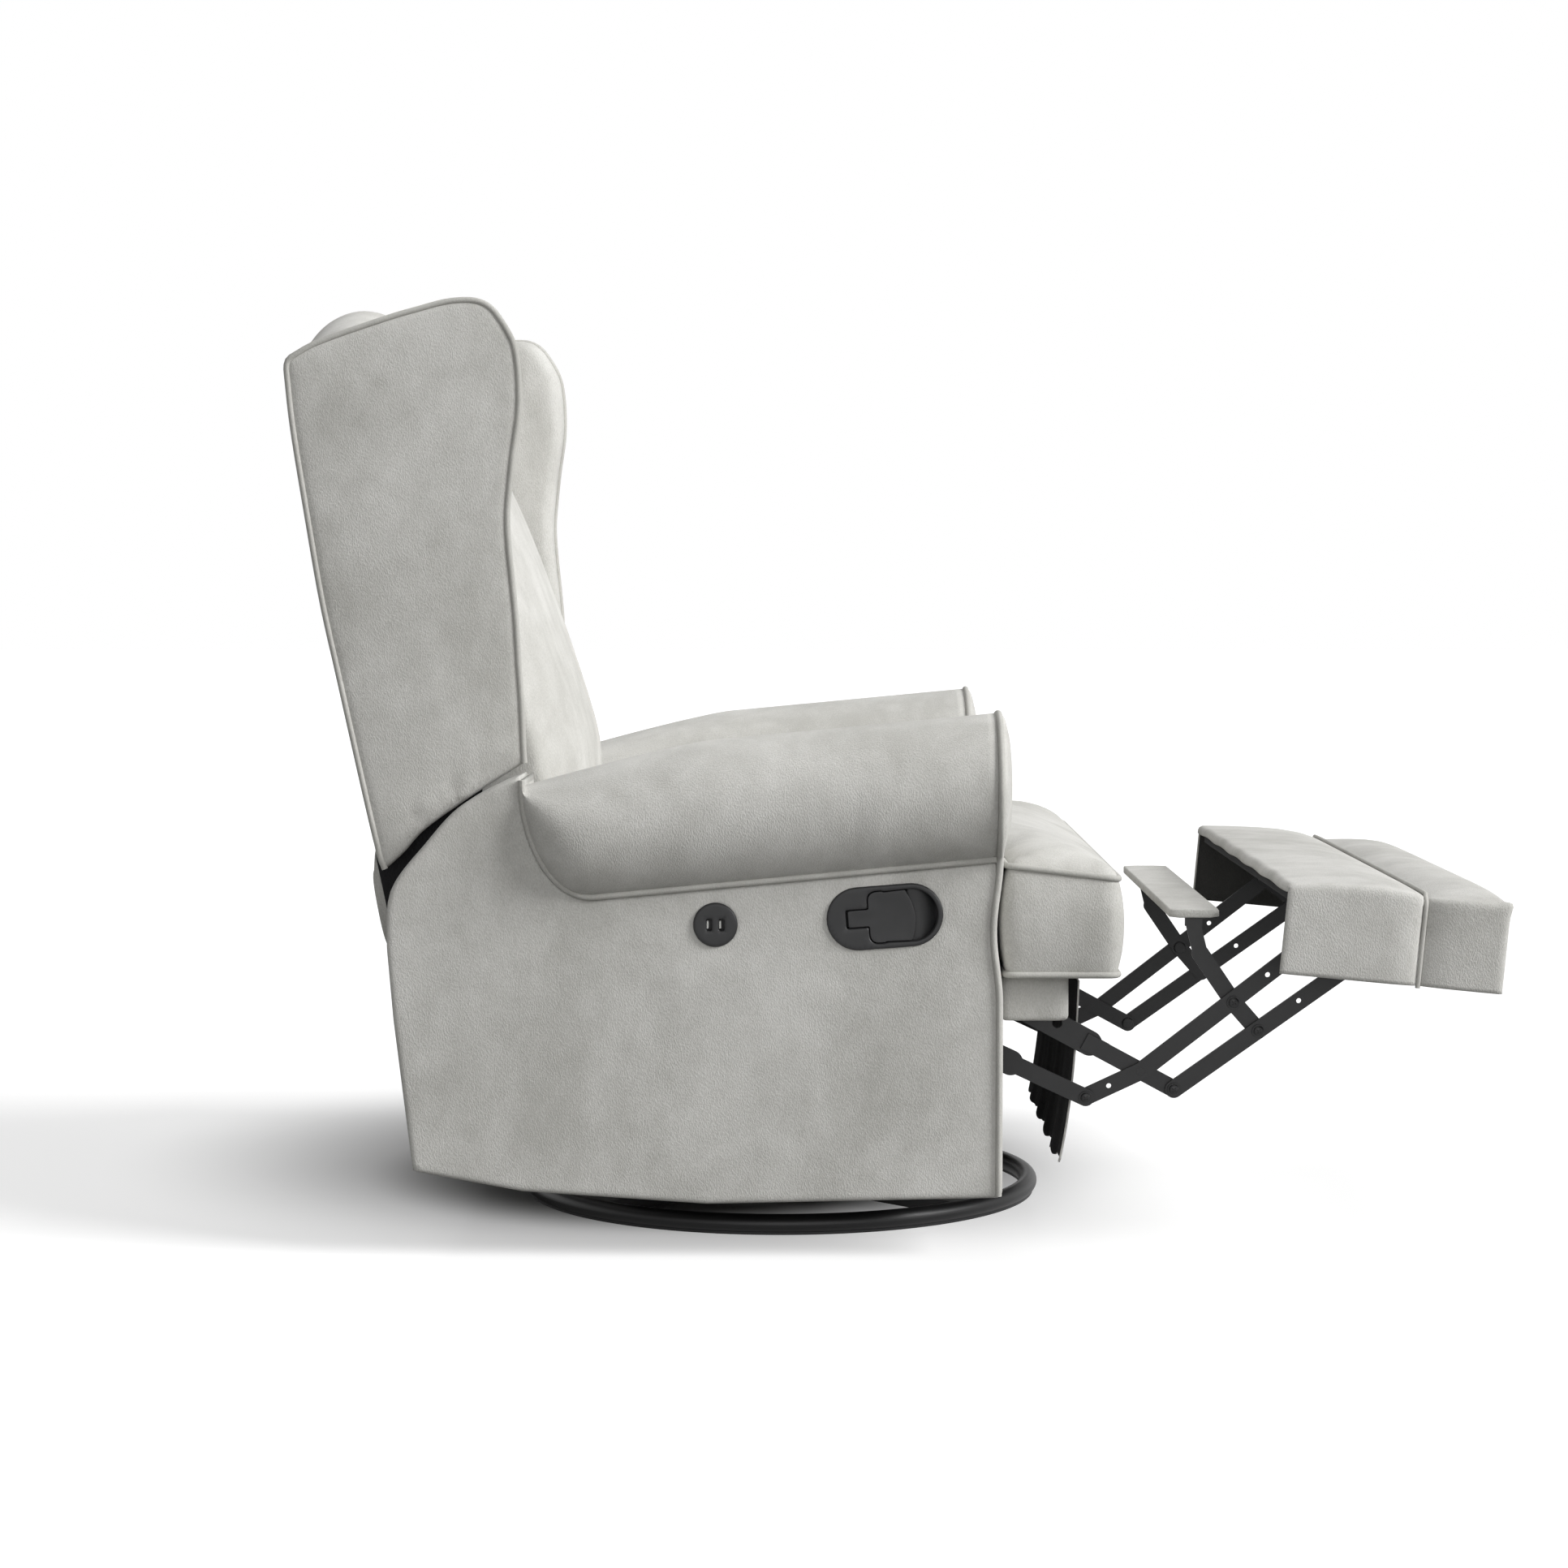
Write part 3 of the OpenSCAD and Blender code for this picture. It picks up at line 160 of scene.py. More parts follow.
def cloth(name, low, high, depth=1.0, sheen=0.12):
    """Bonded microfibre, brushed after weaving: it looks matt and cloudy, with a leaning pebble close up."""
    def build(tree, place):
        lean = add(tree, "ShaderNodeMapping", {"Vector": place, "Rotation": (0.3, 0.75, 0.3), "Scale": (1, 1, 0.55)})
        grain = add(tree, "ShaderNodeTexNoise", {"Vector": lean.outputs[0], "Scale": per_mm(GRAIN_MM), "Detail": 1.5,
                                                 "Roughness": 0.6})
        nap = add(tree, "ShaderNodeTexNoise", {"Vector": place, "Scale": per_mm(NAP_MM), "Detail": 1.0})
        drift = add(tree, "ShaderNodeMapping", {"Vector": place, "Rotation": (0.2, 0.6, 0), "Scale": (1, 1, 0.6)})
        cloud = add(tree, "ShaderNodeTexNoise", {"Vector": drift.outputs[0], "Scale": per_mm(CLOUD_MM), "Detail": 5.0,
                                                 "Roughness": 0.62, "Distortion": 0.4})
        patch = add(tree, "ShaderNodeTexNoise", {"Vector": place, "Scale": per_mm(PATCH_MM), "Detail": 3.0})
        mixed = 0.0
        for noise, share in ((cloud, CLOUD_SHARE), (patch, PATCH_SHARE), (grain, GRAIN_SHARE)):
            mixed = add(tree, "ShaderNodeMath", {0: noise.outputs["Fac"], 1: share, 2: mixed},
                        operation="MULTIPLY_ADD").outputs[0]
        coarse = add(tree, "ShaderNodeBump", {"Height": grain.outputs["Fac"], "Strength": 0.6 * depth,
                                              "Distance": GRAIN_DEPTH_MM * MM})
        fine = add(tree, "ShaderNodeBump", {"Height": nap.outputs["Fac"], "Strength": 0.35 * depth,
                                            "Distance": NAP_DEPTH_MM * MM, "Normal": coarse.outputs[0]})
        return {"Base Color": two_tones(tree, mixed, low, high, 0.39, 0.61), "Normal": fine.outputs[0]}

    return material(name, build, **{"Roughness": 0.9, "Sheen Weight": sheen, "Sheen Roughness": 0.5,
                                    "Specular IOR Level": 0.2})


GREY_CLOTH = cloth("brushed_microfibre", "#B5B4AF", "#D2D1CD")
# The same cloth cut on the bias and drawn round a cord: tighter, so its grain is flatter. Its darker tone is painted
# shade of the crevices beside the welts.
WELT_SHADED_CLOTH = cloth("welt_cord_cover_painted_shade", "#ABAAA5", "#C2C1BC", depth=0.6)
# Spun polypropylene lining: black, matt and coarse.
BLACK_CLOTH = cloth("black_lining_cloth", "#161617", "#262628", depth=1.2, sheen=0.05)
# The cover's unbrushed back, which is seen under the footrest: its darker tone is painted shade of the pads' insides.
PAINTED_SHADE_CLOTH = cloth("cover_back_side_painted_shade", "#444443", "#525250", depth=0.8, sheen=0.05)
print("cloth:", GREY_CLOTH.name, WELT_SHADED_CLOTH.name, BLACK_CLOTH.name, PAINTED_SHADE_CLOTH.name)

# %% [markdown]
# ## Steel, plastic and wood
# The links and the ring are mild steel with a satin black powder coat, which has a fine orange peel. The handle cup
# and the sockets are moulded ABS with a spark-eroded grain. The frame inside is raw hardwood and plywood. Each could be
# one flat colour, but then it looks like paper. A faint change of tone and a grain in the bump, at the real size, are
# enough to tell steel from plastic, because they break up the highlight in the way that each surface does.

# %% Hard materials
# The grains' sizes below are in millimetres. Orange peel is about that size. Spark erosion and zinc crystals are finer,
# and are drawn as coarse as they need to show.
def coated(name, base, lifted, grain_mm, bump_mm, **shader):
    """A hard finish: a faint change of tone and a fine grain in the bump."""
    def build(tree, place):
        tone = add(tree, "ShaderNodeTexNoise", {"Vector": place, "Scale": per_mm(30), "Detail": 3.0})
        grain = add(tree, "ShaderNodeTexNoise", {"Vector": place, "Scale": per_mm(grain_mm), "Detail": 2.0})
        bump = add(tree, "ShaderNodeBump", {"Height": grain.outputs["Fac"], "Strength": 0.35, "Distance": bump_mm * MM})
        return {"Base Color": two_tones(tree, tone.outputs["Fac"], base, lifted), "Normal": bump.outputs[0]}

    return material(name, build, **shader)


def planked(name, light, dark, ring_mm):
    """Sawn beech: growth rings drawn out along the board and broken up by noise."""
    def build(tree, place):
        long_grain = add(tree, "ShaderNodeMapping", {"Vector": place, "Scale": (0.12, 1, 0.3)})
        rings = add(tree, "ShaderNodeTexWave", {"Vector": long_grain.outputs[0], "Scale": per_mm(ring_mm) / 6,
                                                "Distortion": 6.0, "Detail": 3.0, "Detail Scale": 1.5},
                    bands_direction="DIAGONAL")
        bump = add(tree, "ShaderNodeBump", {"Height": rings.outputs["Fac"], "Strength": 0.2, "Distance": 0.3 * MM})
        return {"Base Color": two_tones(tree, rings.outputs["Fac"], dark, light, 0.2, 0.8), "Normal": bump.outputs[0]}

    return material(name, build, Roughness=0.65)


# Powder coat on mild steel: satin black, its orange peel about a millimetre across.
BLACK_STEEL = coated("powder_coated_steel", "#141415", "#1A1A1B", 1.2, 0.15, **{
    "Roughness": 0.42, "Specular IOR Level": 0.35})
# Zinc plating on steel: a grey metal with a soft, slightly uneven gloss.
BRIGHT_STEEL = coated("zinc_plated_steel", "#A9A9A6", "#B9B9B6", 2.0, 0.1, Roughness=0.32, Metallic=1.0)
# ABS from a spark-eroded mould: a fine, even grain that keeps the gloss low.
DARK_PLASTIC = coated("moulded_abs", "#1E1E1F", "#232324", 0.7, 0.08, **{
    "Roughness": 0.46, "Specular IOR Level": 0.32})
# Nylon: milky white, moulded smooth.
WHITE_PLASTIC = coated("white_nylon", "#DDDDD8", "#E6E6E2", 1.0, 0.05, Roughness=0.4)
# Beech, sawn and left raw: warm, matt, with fine rings.
FRAME_WOOD = planked("raw_beech", "#C9A77C", "#B08A5E", 9)
print("hard finishes:", BLACK_STEEL.name, DARK_PLASTIC.name, FRAME_WOOD.name)

# %% [markdown]
# ## Paint the CAD pieces that stay
# The steel, plastic and wooden pieces from CAD already have their true shape. They could be rebuilt with finer edges,
# but they are seen small and in shade, so they only get their finish, by the slot that the record gives each node.

# %% Finishes of the CAD nodes
FINISHES = {
    "black_steel": BLACK_STEEL, "bright_steel": BRIGHT_STEEL, "dark_plastic": DARK_PLASTIC,
    "white_plastic": WHITE_PLASTIC, "wood_frame": FRAME_WOOD, "black_cloth": BLACK_CLOTH, "grey_fabric": GREY_CLOTH}
for part in frame["record"]["subparts"]:
    mesh = frame["nodes"][part["node"]].data
    mesh.materials.clear()
    mesh.materials.append(FINISHES[part["material_slot"]])

# %% [markdown]
# ## Outlines and paths
# An upholsterer works from card patterns, and so does this script: most pieces start from a flat outline. Bezier curves
# would need handles for each point. Catmull-Rom curves pass through the measured points themselves, so they are used
# where an edge bends, and every outline is then stepped at an even distance, so that its triangles come out alike.

# %% Paths
SIDES = ((1, "l"), (-1, "r"))


def evenly(points, step, closed=True):
    """The same path with a point about every step metres, corners kept in place as near as the step allows."""
    path = np.array(list(points) + ([points[0]] if closed else []), dtype=float)
    lengths = np.linalg.norm(np.diff(path, axis=0), axis=1)
    along = np.concatenate([[0], np.cumsum(lengths)])
    count = max(4, int(round(along[-1] / step)))
    marks = np.linspace(0, along[-1], count + 1)
    out = np.stack([np.interp(marks, along, path[:, k]) for k in range(path.shape[1])], axis=1)
    return out[:-1] if closed else out


def curved(points, per_span=8, closed=False):
    """A Catmull-Rom curve through the points."""
    p = np.array(points, dtype=float)
    n = len(p)
    out = []
    for i in range(n if closed else n - 1):
        if closed:
            a, b, c, d = p[(i - 1) % n], p[i], p[(i + 1) % n], p[(i + 2) % n]
        else:
            a, b, c, d = p[max(i - 1, 0)], p[i], p[i + 1], p[min(i + 2, n - 1)]
        for t in np.arange(per_span) / per_span:
            out.append(0.5 * (2 * b + (c - a) * t + (2 * a - 5 * b + 4 * c - d) * t ** 2
                              + (3 * b - a - 3 * c + d) * t ** 3))
    return np.array(out if closed else out + [p[-1]])


def arc(centre, radius, start, end, count=12):
    """Points on a circle between two angles in degrees."""
    turn = np.radians(np.linspace(start, end, count))
    return np.stack([centre[0] + radius * np.cos(turn), centre[1] + radius * np.sin(turn)], axis=1)


def rounded(corners, radius, count=6):
    """A closed outline whose corners are rounded."""
    out = []
    n = len(corners)
    c = np.array(corners, dtype=float)
    for i in range(n):
        a, b, d = c[i - 1], c[i], c[(i + 1) % n]
        r = radius[i] if hasattr(radius, "__len__") else radius
        u, v = (a - b) / np.linalg.norm(a - b), (d - b) / np.linalg.norm(d - b)
        for t in np.linspace(0, 1, count):
            out.append(b + u * r * (1 - t) ** 2 + v * r * t ** 2)
    return np.array(out)


def rectangle(x0, y0, x1, y1):
    """Four corners, counter-clockwise."""
    return [(x0, y0), (x1, y0), (x1, y1), (x0, y1)]


print("a quarter circle of radius 1:", [tuple(p) for p in arc((0, 0), 1, 0, 90, 3).round(2)])


# %% Loops
def is_inside(points, loop):
    """Whether each point lies inside a closed loop."""
    x, y = points[:, 0][:, None], points[:, 1][:, None]
    x0, y0 = loop[:, 0][None], loop[:, 1][None]
    x1, y1 = np.roll(loop[:, 0], -1)[None], np.roll(loop[:, 1], -1)[None]
    rise = np.where(y1 == y0, 1e-12, y1 - y0)
    crossed = ((y0 > y) != (y1 > y)) & (x < (x1 - x0) * (y - y0) / rise + x0)
    return crossed.sum(axis=1) % 2 == 1


def edge_distance(points, loops):
    """Each point's distance to the nearest edge of the closed loops."""
    best = np.full(len(points), 1e9)
    for loop in loops:
        a, b = loop[None], np.roll(loop, -1, axis=0)[None]
        ab = b - a
        t = ((points[:, None] - a) * ab).sum(axis=2) / np.maximum((ab ** 2).sum(axis=2), 1e-18)
        gap = points[:, None] - a - np.clip(t, 0, 1)[..., None] * ab
        best = np.minimum(best, np.sqrt((gap ** 2).sum(axis=2)).min(axis=1))
    return best


def outward(loop):
    """Unit normals of a closed loop, pointing away from its inside."""
    along = np.roll(loop, -1, axis=0) - np.roll(loop, 1, axis=0)
    normal = np.stack([along[:, 1], -along[:, 0]], axis=1)
    normal /= np.maximum(np.linalg.norm(normal, axis=1)[:, None], 1e-12)
    area = np.sum(loop[:, 0] * np.roll(loop[:, 1], -1) - loop[:, 1] * np.roll(loop[:, 0], -1))
    return normal if area > 0 else -normal


unit_square = np.array(rectangle(0.0, 0.0, 1.0, 1.0))
print("the middle of a unit square is", edge_distance(np.array([(0.5, 0.5)]), [unit_square])[0], "from its edge")

# %% [markdown]
# ## An upholstered board
# Wings, side panels and arm fronts are boards with wadding and cloth pulled over them. A bevelled and subdivided slab
# could stand for one, but its edge would be as soft in a tight corner as on a long side. So the flat faces are filled
# with small triangles, closer together near the edge, where the cloth turns over. A face then falls away to the edge
# as a quarter circle and swells a little towards its middle, which gives the soft line of light along every edge.

# %% Filling an outline
def fill(outline, holes, spacing, rows):
    """Flat points and triangles inside an outline, and the loops' point numbers."""
    loops = [np.asarray(outline)] + [np.asarray(h) for h in holes]
    points, edges = [], []
    for loop in loops:
        first = len(points)
        points += [tuple(p) for p in loop]
        edges += [(first + i, first + (i + 1) % len(loop)) for i in range(len(loop))]
    extra = []
    for index, loop in enumerate(loops):
        normal = outward(loop) * (1 if index == 0 else -1)
        for row in rows:
            extra.append((loop - normal * row)[::1 if row < spacing / 2 else 2])
    low, high = loops[0].min(axis=0), loops[0].max(axis=0)
    xs = np.arange(low[0], high[0], spacing)
    ys = np.arange(low[1], high[1], spacing * 0.866)
    grid = np.array([(x + spacing / 2 * (j % 2), y) for j, y in enumerate(ys) for x in xs])
    row_points = np.concatenate(extra)
    row_wanted = np.concatenate([[row] * len(e) for row, e in zip(list(rows) * len(loops), extra)])
    row_gap = edge_distance(row_points, loops)
    keep_rows = row_points[(row_gap > row_wanted * 0.9)]
    keep_grid = grid[edge_distance(grid, loops) > rows[-1] + spacing * 0.5]
    more = np.concatenate([keep_rows, keep_grid])
    good = is_inside(more, loops[0])
    for hole in loops[1:]:
        good &= ~is_inside(more, hole)
    points += [tuple(p) for p in more[good]]
    made = delaunay_2d_cdt([Vector(p) for p in points], edges, [], 1, 1e-6)
    flat = np.array([tuple(v) for v in made[0]])
    faces = [f for f in made[2] if len(f) == 3]
    middles = np.array([flat[list(f)].mean(axis=0) for f in faces])
    good = is_inside(middles, loops[0])
    for hole in loops[1:]:
        good &= ~is_inside(middles, hole)
    faces = [f for f, g in zip(faces, good) if g]
    number = {}
    for new, olds in enumerate(made[3]):
        for old in olds:
            number[old] = new
    rings, first = [], 0
    for loop in loops:
        rings.append([number[first + i] for i in range(len(loop))])
        first += len(loop)
    return flat, faces, rings, loops


print("a unit square fills with", len(fill(unit_square, [], 0.3, [0.1])[1]), "triangles at a coarse step")


# %% Padded boards
def fall(distance, radius):
    """How far a rounded edge lies below the face, at a distance from the edge."""
    near = np.clip(radius - distance, 0, None)
    return radius - np.sqrt(np.maximum(radius ** 2 - near ** 2, 0))


def board(outline, place, near, far, near_r, far_r, near_swell=0, far_swell=0, reach=0.05, holes=(), spacing=0.014,
          rows=(0.0012, 0.003, 0.0055, 0.009), near_shape=None, band=None):
    """Points and faces of a closed padded board. near and far are its faces' heights over the outline's plane."""
    flat, faces, rings, loops = fill(outline, holes, spacing, rows)
    gap = edge_distance(flat, loops)
    swell = 1 - np.exp(-gap / reach)
    near_w = near - fall(gap, near_r) + near_swell * swell
    far_w = far + fall(gap, far_r) - far_swell * swell
    if near_shape is not None:
        near_w = near_w + near_shape(flat, gap)
    count = len(flat)
    points = [place(u, v, w) for (u, v), w in zip(flat, near_w)] + [place(u, v, w) for (u, v), w in zip(flat, far_w)]
    out = [tuple(f) for f in faces] + [tuple(count + i for i in reversed(f)) for f in faces]
    for index, (ring, loop) in enumerate(zip(rings, loops)):
        normal = outward(loop)
        steps = band if (band and index == 0) else []
        levels = [ring]
        for share, bulge in steps:
            level = []
            for k, i in enumerate(ring):
                w = near_w[i] + (far_w[i] - near_w[i]) * share
                level.append(len(points))
                points.append(place(loop[k][0] + normal[k][0] * bulge, loop[k][1] + normal[k][1] * bulge, w))
            levels.append(level)
        levels.append([count + i for i in ring])
        n = len(ring)
        for top, low in zip(levels, levels[1:]):
            out += [(top[k], top[(k + 1) % n], low[(k + 1) % n], low[k]) for k in range(n)]
    return points, out


print("a 10 mm round edge lies", round(float(fall(0.002, 0.010)) / MM, 1), "mm below its face, 2 mm in")


# %% Pieces from points
def new_piece(name, points, faces, finish):
    """A smooth mesh object whose faces point outwards."""
    mesh = bpy.data.meshes.new(name)
    mesh.from_pydata([tuple(p) for p in points], [], faces)
    work = bmesh.new()
    work.from_mesh(mesh)
    bmesh.ops.remove_doubles(work, verts=work.verts, dist=1e-6)
    bmesh.ops.recalc_face_normals(work, faces=work.faces)
    work.to_mesh(mesh)
    work.free()
    mesh.polygons.foreach_set("use_smooth", [True] * len(mesh.polygons))
    mesh.materials.append(finish)
    piece = bpy.data.objects.new(name, mesh)
    bpy.context.scene.collection.objects.link(piece)
    return piece


def solved(holder):
    """A plain mesh of what an object's modifiers make."""
    return bpy.data.meshes.new_from_object(holder.evaluated_get(bpy.context.evaluated_depsgraph_get()))


def applied(piece):
    """The piece with its modifiers made real."""
    mesh = solved(piece)
    piece.modifiers.clear()
    piece.data = mesh
    return piece


def thickened(piece, thickness, inner):
    """Gives an open skin its thickness inwards, with another finish on its inner side."""
    piece.data.materials.append(inner)
    thick = piece.modifiers.new("thickness", "SOLIDIFY")
    thick.thickness = thickness
    thick.offset = -1
    thick.material_offset = 1
    return applied(piece)


def fit(piece, body, slot="grey_fabric", stands_for=(), fill_share=None):
    """Puts a finished piece on its body and hides the CAD nodes that it stands for. The slot is not used."""
    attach(piece, body)
    if stands_for:
        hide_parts(*stands_for)
    return piece


print("helpers:", ", ".join(f.__name__ for f in (new_piece, solved, applied, thickened, fit)))

# %% [markdown]
# ## Welt cord
# A welt is a cord wrapped in a strip of the cover and sewn into the seam. It could be pushed out of the cover's own
# mesh, but a seam that thin needs very small faces everywhere. It is one round section that follows a path, so Geometry
# Nodes sweep a circle along a curve: the radius is an input of the tree, and each seam only brings its own path.

# %% Welt cord tree
def welt_tree():
    """A tree that sweeps a round section along a curve."""
    tree = bpy.data.node_groups.new("welt_cord", "GeometryNodeTree")
    tree.interface.new_socket("Path", in_out="INPUT", socket_type="NodeSocketGeometry")
    tree.interface.new_socket("Radius", in_out="INPUT", socket_type="NodeSocketFloat")
    tree.interface.new_socket("Finish", in_out="INPUT", socket_type="NodeSocketMaterial")
    tree.interface.new_socket("Cord", in_out="OUTPUT", socket_type="NodeSocketGeometry")
    given = add(tree, "NodeGroupInput")
    section = add(tree, "GeometryNodeCurvePrimitiveCircle", {"Resolution": 12, "Radius": given.outputs["Radius"]})
    swept = add(tree, "GeometryNodeCurveToMesh", {"Curve": given.outputs["Path"],
                                                  "Profile Curve": section.outputs["Curve"], "Fill Caps": True})
    real = add(tree, "GeometryNodeRealizeInstances", {"Geometry": swept.outputs["Mesh"]})
    smooth = add(tree, "GeometryNodeSetShadeSmooth", {"Geometry": real.outputs["Geometry"]})
    painted = add(tree, "GeometryNodeSetMaterial", {"Geometry": smooth.outputs["Geometry"],
                                                    "Material": given.outputs["Finish"]})
    add(tree, "NodeGroupOutput", {"Cord": painted.outputs["Geometry"]})
    return tree


WELT = welt_tree()
WELT_R = 3.6 * MM
print("welt tree:", len(WELT.nodes), "nodes, radius", WELT_R)


# %% Cords along seams
def grown(name, start, tree, **inputs):
    """A piece that a Geometry Nodes tree makes from start. Its inputs are set by their sockets' identifiers."""
    holder = bpy.data.objects.new(name + "_start", start)
    bpy.context.scene.collection.objects.link(holder)
    modifier = holder.modifiers.new("grown", "NODES")
    modifier.node_group = tree
    for item in tree.interface.items_tree:
        if item.in_out == "INPUT" and item.name in inputs:
            modifier[item.identifier] = inputs[item.name]
    piece = bpy.data.objects.new(name, solved(holder))
    bpy.data.objects.remove(holder)
    bpy.context.scene.collection.objects.link(piece)
    return piece


def cord(name, path, body, radius=WELT_R, closed=False):
    """A welt cord along a path, as a plain mesh on its body."""
    line = bpy.data.curves.new(name + "_line", "CURVE")
    line.dimensions = "3D"
    spline = line.splines.new("POLY")
    spline.points.add(len(path) - 1)
    spline.points.foreach_set("co", np.concatenate([np.array(path), np.ones((len(path), 1))], axis=1).ravel())
    spline.use_cyclic_u = closed
    made = fit(grown(name, line, WELT, Radius=radius, Finish=WELT_SHADED_CLOTH), body)
    print(name, len(path), "points along its seam")
    return made


# %% [markdown]
# ## Wings
# Each wing is a shaped board, padded on both faces. A welt runs up its rear edge, over the top and down the front,
# and its lower edge is rolled under without one. Two small puckers gather the cloth above the lower edge. A wing could
# be sculpted, but its outline is what the eye knows it by, so it is cut as a pattern: shares of its depth and height.

# %% Wing outline
BACK_FOOT = np.array([-0.446, 0.425])
BACK_LEAN = math.radians(11.2)
WING_D = 0.265
WING_H = 0.615
WING_INSET = 0.0042
WING_SHARES = [
    (0.0, 0.0), (-0.022, 0.028), (-0.031, 0.109), (-0.042, 0.361), (-0.047, 0.508), (-0.036, 0.665), (-0.021, 0.823),
    (-0.001, 0.92), (0.004, 0.937), (0.014, 0.950), (0.035, 0.958), (0.06, 0.9625), (0.184, 0.978), (0.479, 0.9953),
    (0.62, 1.0005), (0.72, 1.0035), (0.79, 1.002), (0.846, 0.9975), (0.88, 0.992), (0.918, 0.981), (0.956, 0.957),
    (0.997, 0.907), (1.0, 0.864), (0.984, 0.812), (0.958, 0.765), (0.907, 0.703), (0.866, 0.647), (0.828, 0.589),
    (0.807, 0.527), (0.789, 0.446), (0.771, 0.381), (0.734, 0.275), (0.676, 0.143)]
WING_LOW_SHARES = [(0.676, 0.143), (0.565, 0.125), (0.474, 0.11), (0.315, 0.081), (0.18, 0.053), (0.082, 0.021),
                   (0.0, 0.0)]


def on_back(depth, across, height):
    """A place on the leaning back, given upright at its foot."""
    c, s = math.cos(BACK_LEAN), math.sin(BACK_LEAN)
    return (BACK_FOOT[0] + depth * c - height * s, across, BACK_FOOT[1] + depth * s + height * c)


welted = curved([(a * WING_D, b * WING_H) for a, b in WING_SHARES], 6)
wing_low_flat = curved([(a * WING_D, b * WING_H) for a, b in WING_LOW_SHARES], 6)
pattern = np.concatenate([welted, wing_low_flat[1:-1]])
# The welt takes up the pattern's edge, so the board is drawn in by its radius, less at the welt's two ends.
draw_in = np.zeros(len(pattern))
from_end = np.minimum(np.arange(len(welted)), np.arange(len(welted))[::-1])
draw_in[:len(welted)] = WING_INSET * np.clip(from_end / 8, 0, 1)
pattern = pattern - outward(pattern) * draw_in[:, None]
wing_welt_flat = pattern[:len(welted)]
wing_outline = evenly(pattern, 0.005)
print("wing outline:", len(wing_outline), "points")

# %% Wings
WING_OUT_Y, WING_IN_Y = 0.3455, 0.308
OUTER_EDGE, INNER_EDGE = 0.006, 0.016
OUTER_SWELL, INNER_SWELL, SWELL_REACH = 0.0045, 0.0055, 0.045
PUCKERS = [(0.0967, 0.0716), (0.0501, 0.0574)]
PUCKER_RISE, PUCKER_DEPTH = 0.0024, 0.0042
HEM_ROLL, HEM_RISE, HEM_DEPTH = 0.013, 0.0015, 0.0012


def wing_shape(flat, gap):
    """The rolled lower edge, and two comma-shaped puckers where it is tacked from behind."""
    low = np.full(len(flat), 1e9)
    for a, b in zip(wing_low_flat, wing_low_flat[1:]):
        t = np.clip(((flat - a) @ (b - a)) / ((b - a) @ (b - a)), 0, 1)
        low = np.minimum(low, np.linalg.norm(flat - a - t[:, None] * (b - a), axis=1))
    inner = np.clip((flat[:, 0] - 0.012) / 0.03, 0, 1) * np.clip((0.17 - flat[:, 0]) / 0.03, 0, 1)
    out = inner * (HEM_RISE * np.exp(-((low - 0.006) / 0.004) ** 2)
                   - HEM_DEPTH * np.exp(-((low - HEM_ROLL) / 0.003) ** 2))
    for depth, height in PUCKERS:
        along = (flat[:, 1] - height) / 0.012
        across = (flat[:, 0] - depth) - 0.004 * along ** 2
        size = np.exp(-along ** 2)
        out += PUCKER_RISE * np.exp(-((across - 0.006) / 0.005) ** 2) * size
        out -= PUCKER_DEPTH * np.exp(-(across / 0.0035) ** 2) * size
    return out


def make_wing(side, word):
    """One wing and the welt along its seam."""
    def place(u, v, w):
        return on_back(u, side * w, v)

    points, faces = board(wing_outline, place, WING_OUT_Y, WING_IN_Y, OUTER_EDGE, INNER_EDGE, OUTER_SWELL,
                          INNER_SWELL, SWELL_REACH, spacing=0.010, rows=(0.0012, 0.003, 0.006, 0.010, 0.015),
                          near_shape=wing_shape)
    wing = new_piece("wing_cover_" + word, points, faces, GREY_CLOTH)
    fit(wing, "back", stands_for=["wing_" + word], fill_share=0.8)
    path = evenly(wing_welt_flat, 0.005, closed=False)
    cord("wing_welt_" + word, [on_back(u, side * (WING_OUT_Y - 0.002), v) for u, v in path], "back")
    return wing


for side, word in SIDES:
    wing = make_wing(side, word)
    print(wing.name, len(wing.data.polygons), "faces")

# %% [markdown]
# ## Side panels
# The side of each arm is one flat panel of cloth. It meets the rolled arm in a welted seam, and on the sitter's right
# it is cut out for the handle cup and the charging sockets. A boolean could cut those holes, but it leaves long thin
# faces round them. The panel is filled as a board with its holes given from the start, so the cloth turns in evenly.

# %% Side panel outline
PANEL_X, PANEL_Z, PANEL_LEN, PANEL_H = -0.432, 0.061, 0.682, 0.476
PANEL_REAR_SHARES = [(0.218, 1), (0.176, 0.975), (0.117, 0.926), (0.065, 0.845), (0.007, 0.733), (0, 0.6),
                     (0.01, 0.431), (0.04, 0.076)]
PANEL_LOW_SHARES = [(0.04, 0.076), (0.218, 0.029), (0.519, 0), (0.997, 0.015)]
PANEL_FRONT_SHARES = [(0.997, 0.015), (1, 0.2), (1, 0.5), (0.994, 0.72), (0.992, 0.8)]
ARM_FRONT_X = 0.242
ROLL_R, ROLL_Y, ROLL_Z, ROLL_SLOPE, ROLL_FLAT = 0.085, 0.405, 0.497, 0.0946, 0.074
ROLL_REAR_X, ROLL_TAIL, TAIL_H = -0.281, 0.076, 0.129
PANEL_OUT_Y, PANEL_IN_Y = 0.448, 0.441


def on_panel(share):
    """A place on the panel, given as shares of its length and height."""
    return (PANEL_X + share[0] * PANEL_LEN, PANEL_Z + share[1] * PANEL_H)


def dent(z):
    """How far the seat cushion's ear presses the arm's front back, at a height."""
    return 0.007 * np.sin(math.pi * np.clip((z - 0.285) / 0.16, 0, 1)) ** 2


def roll_axis(x):
    """The height of the roll's axis, which rises towards the front."""
    return ROLL_Z + ROLL_SLOPE * x


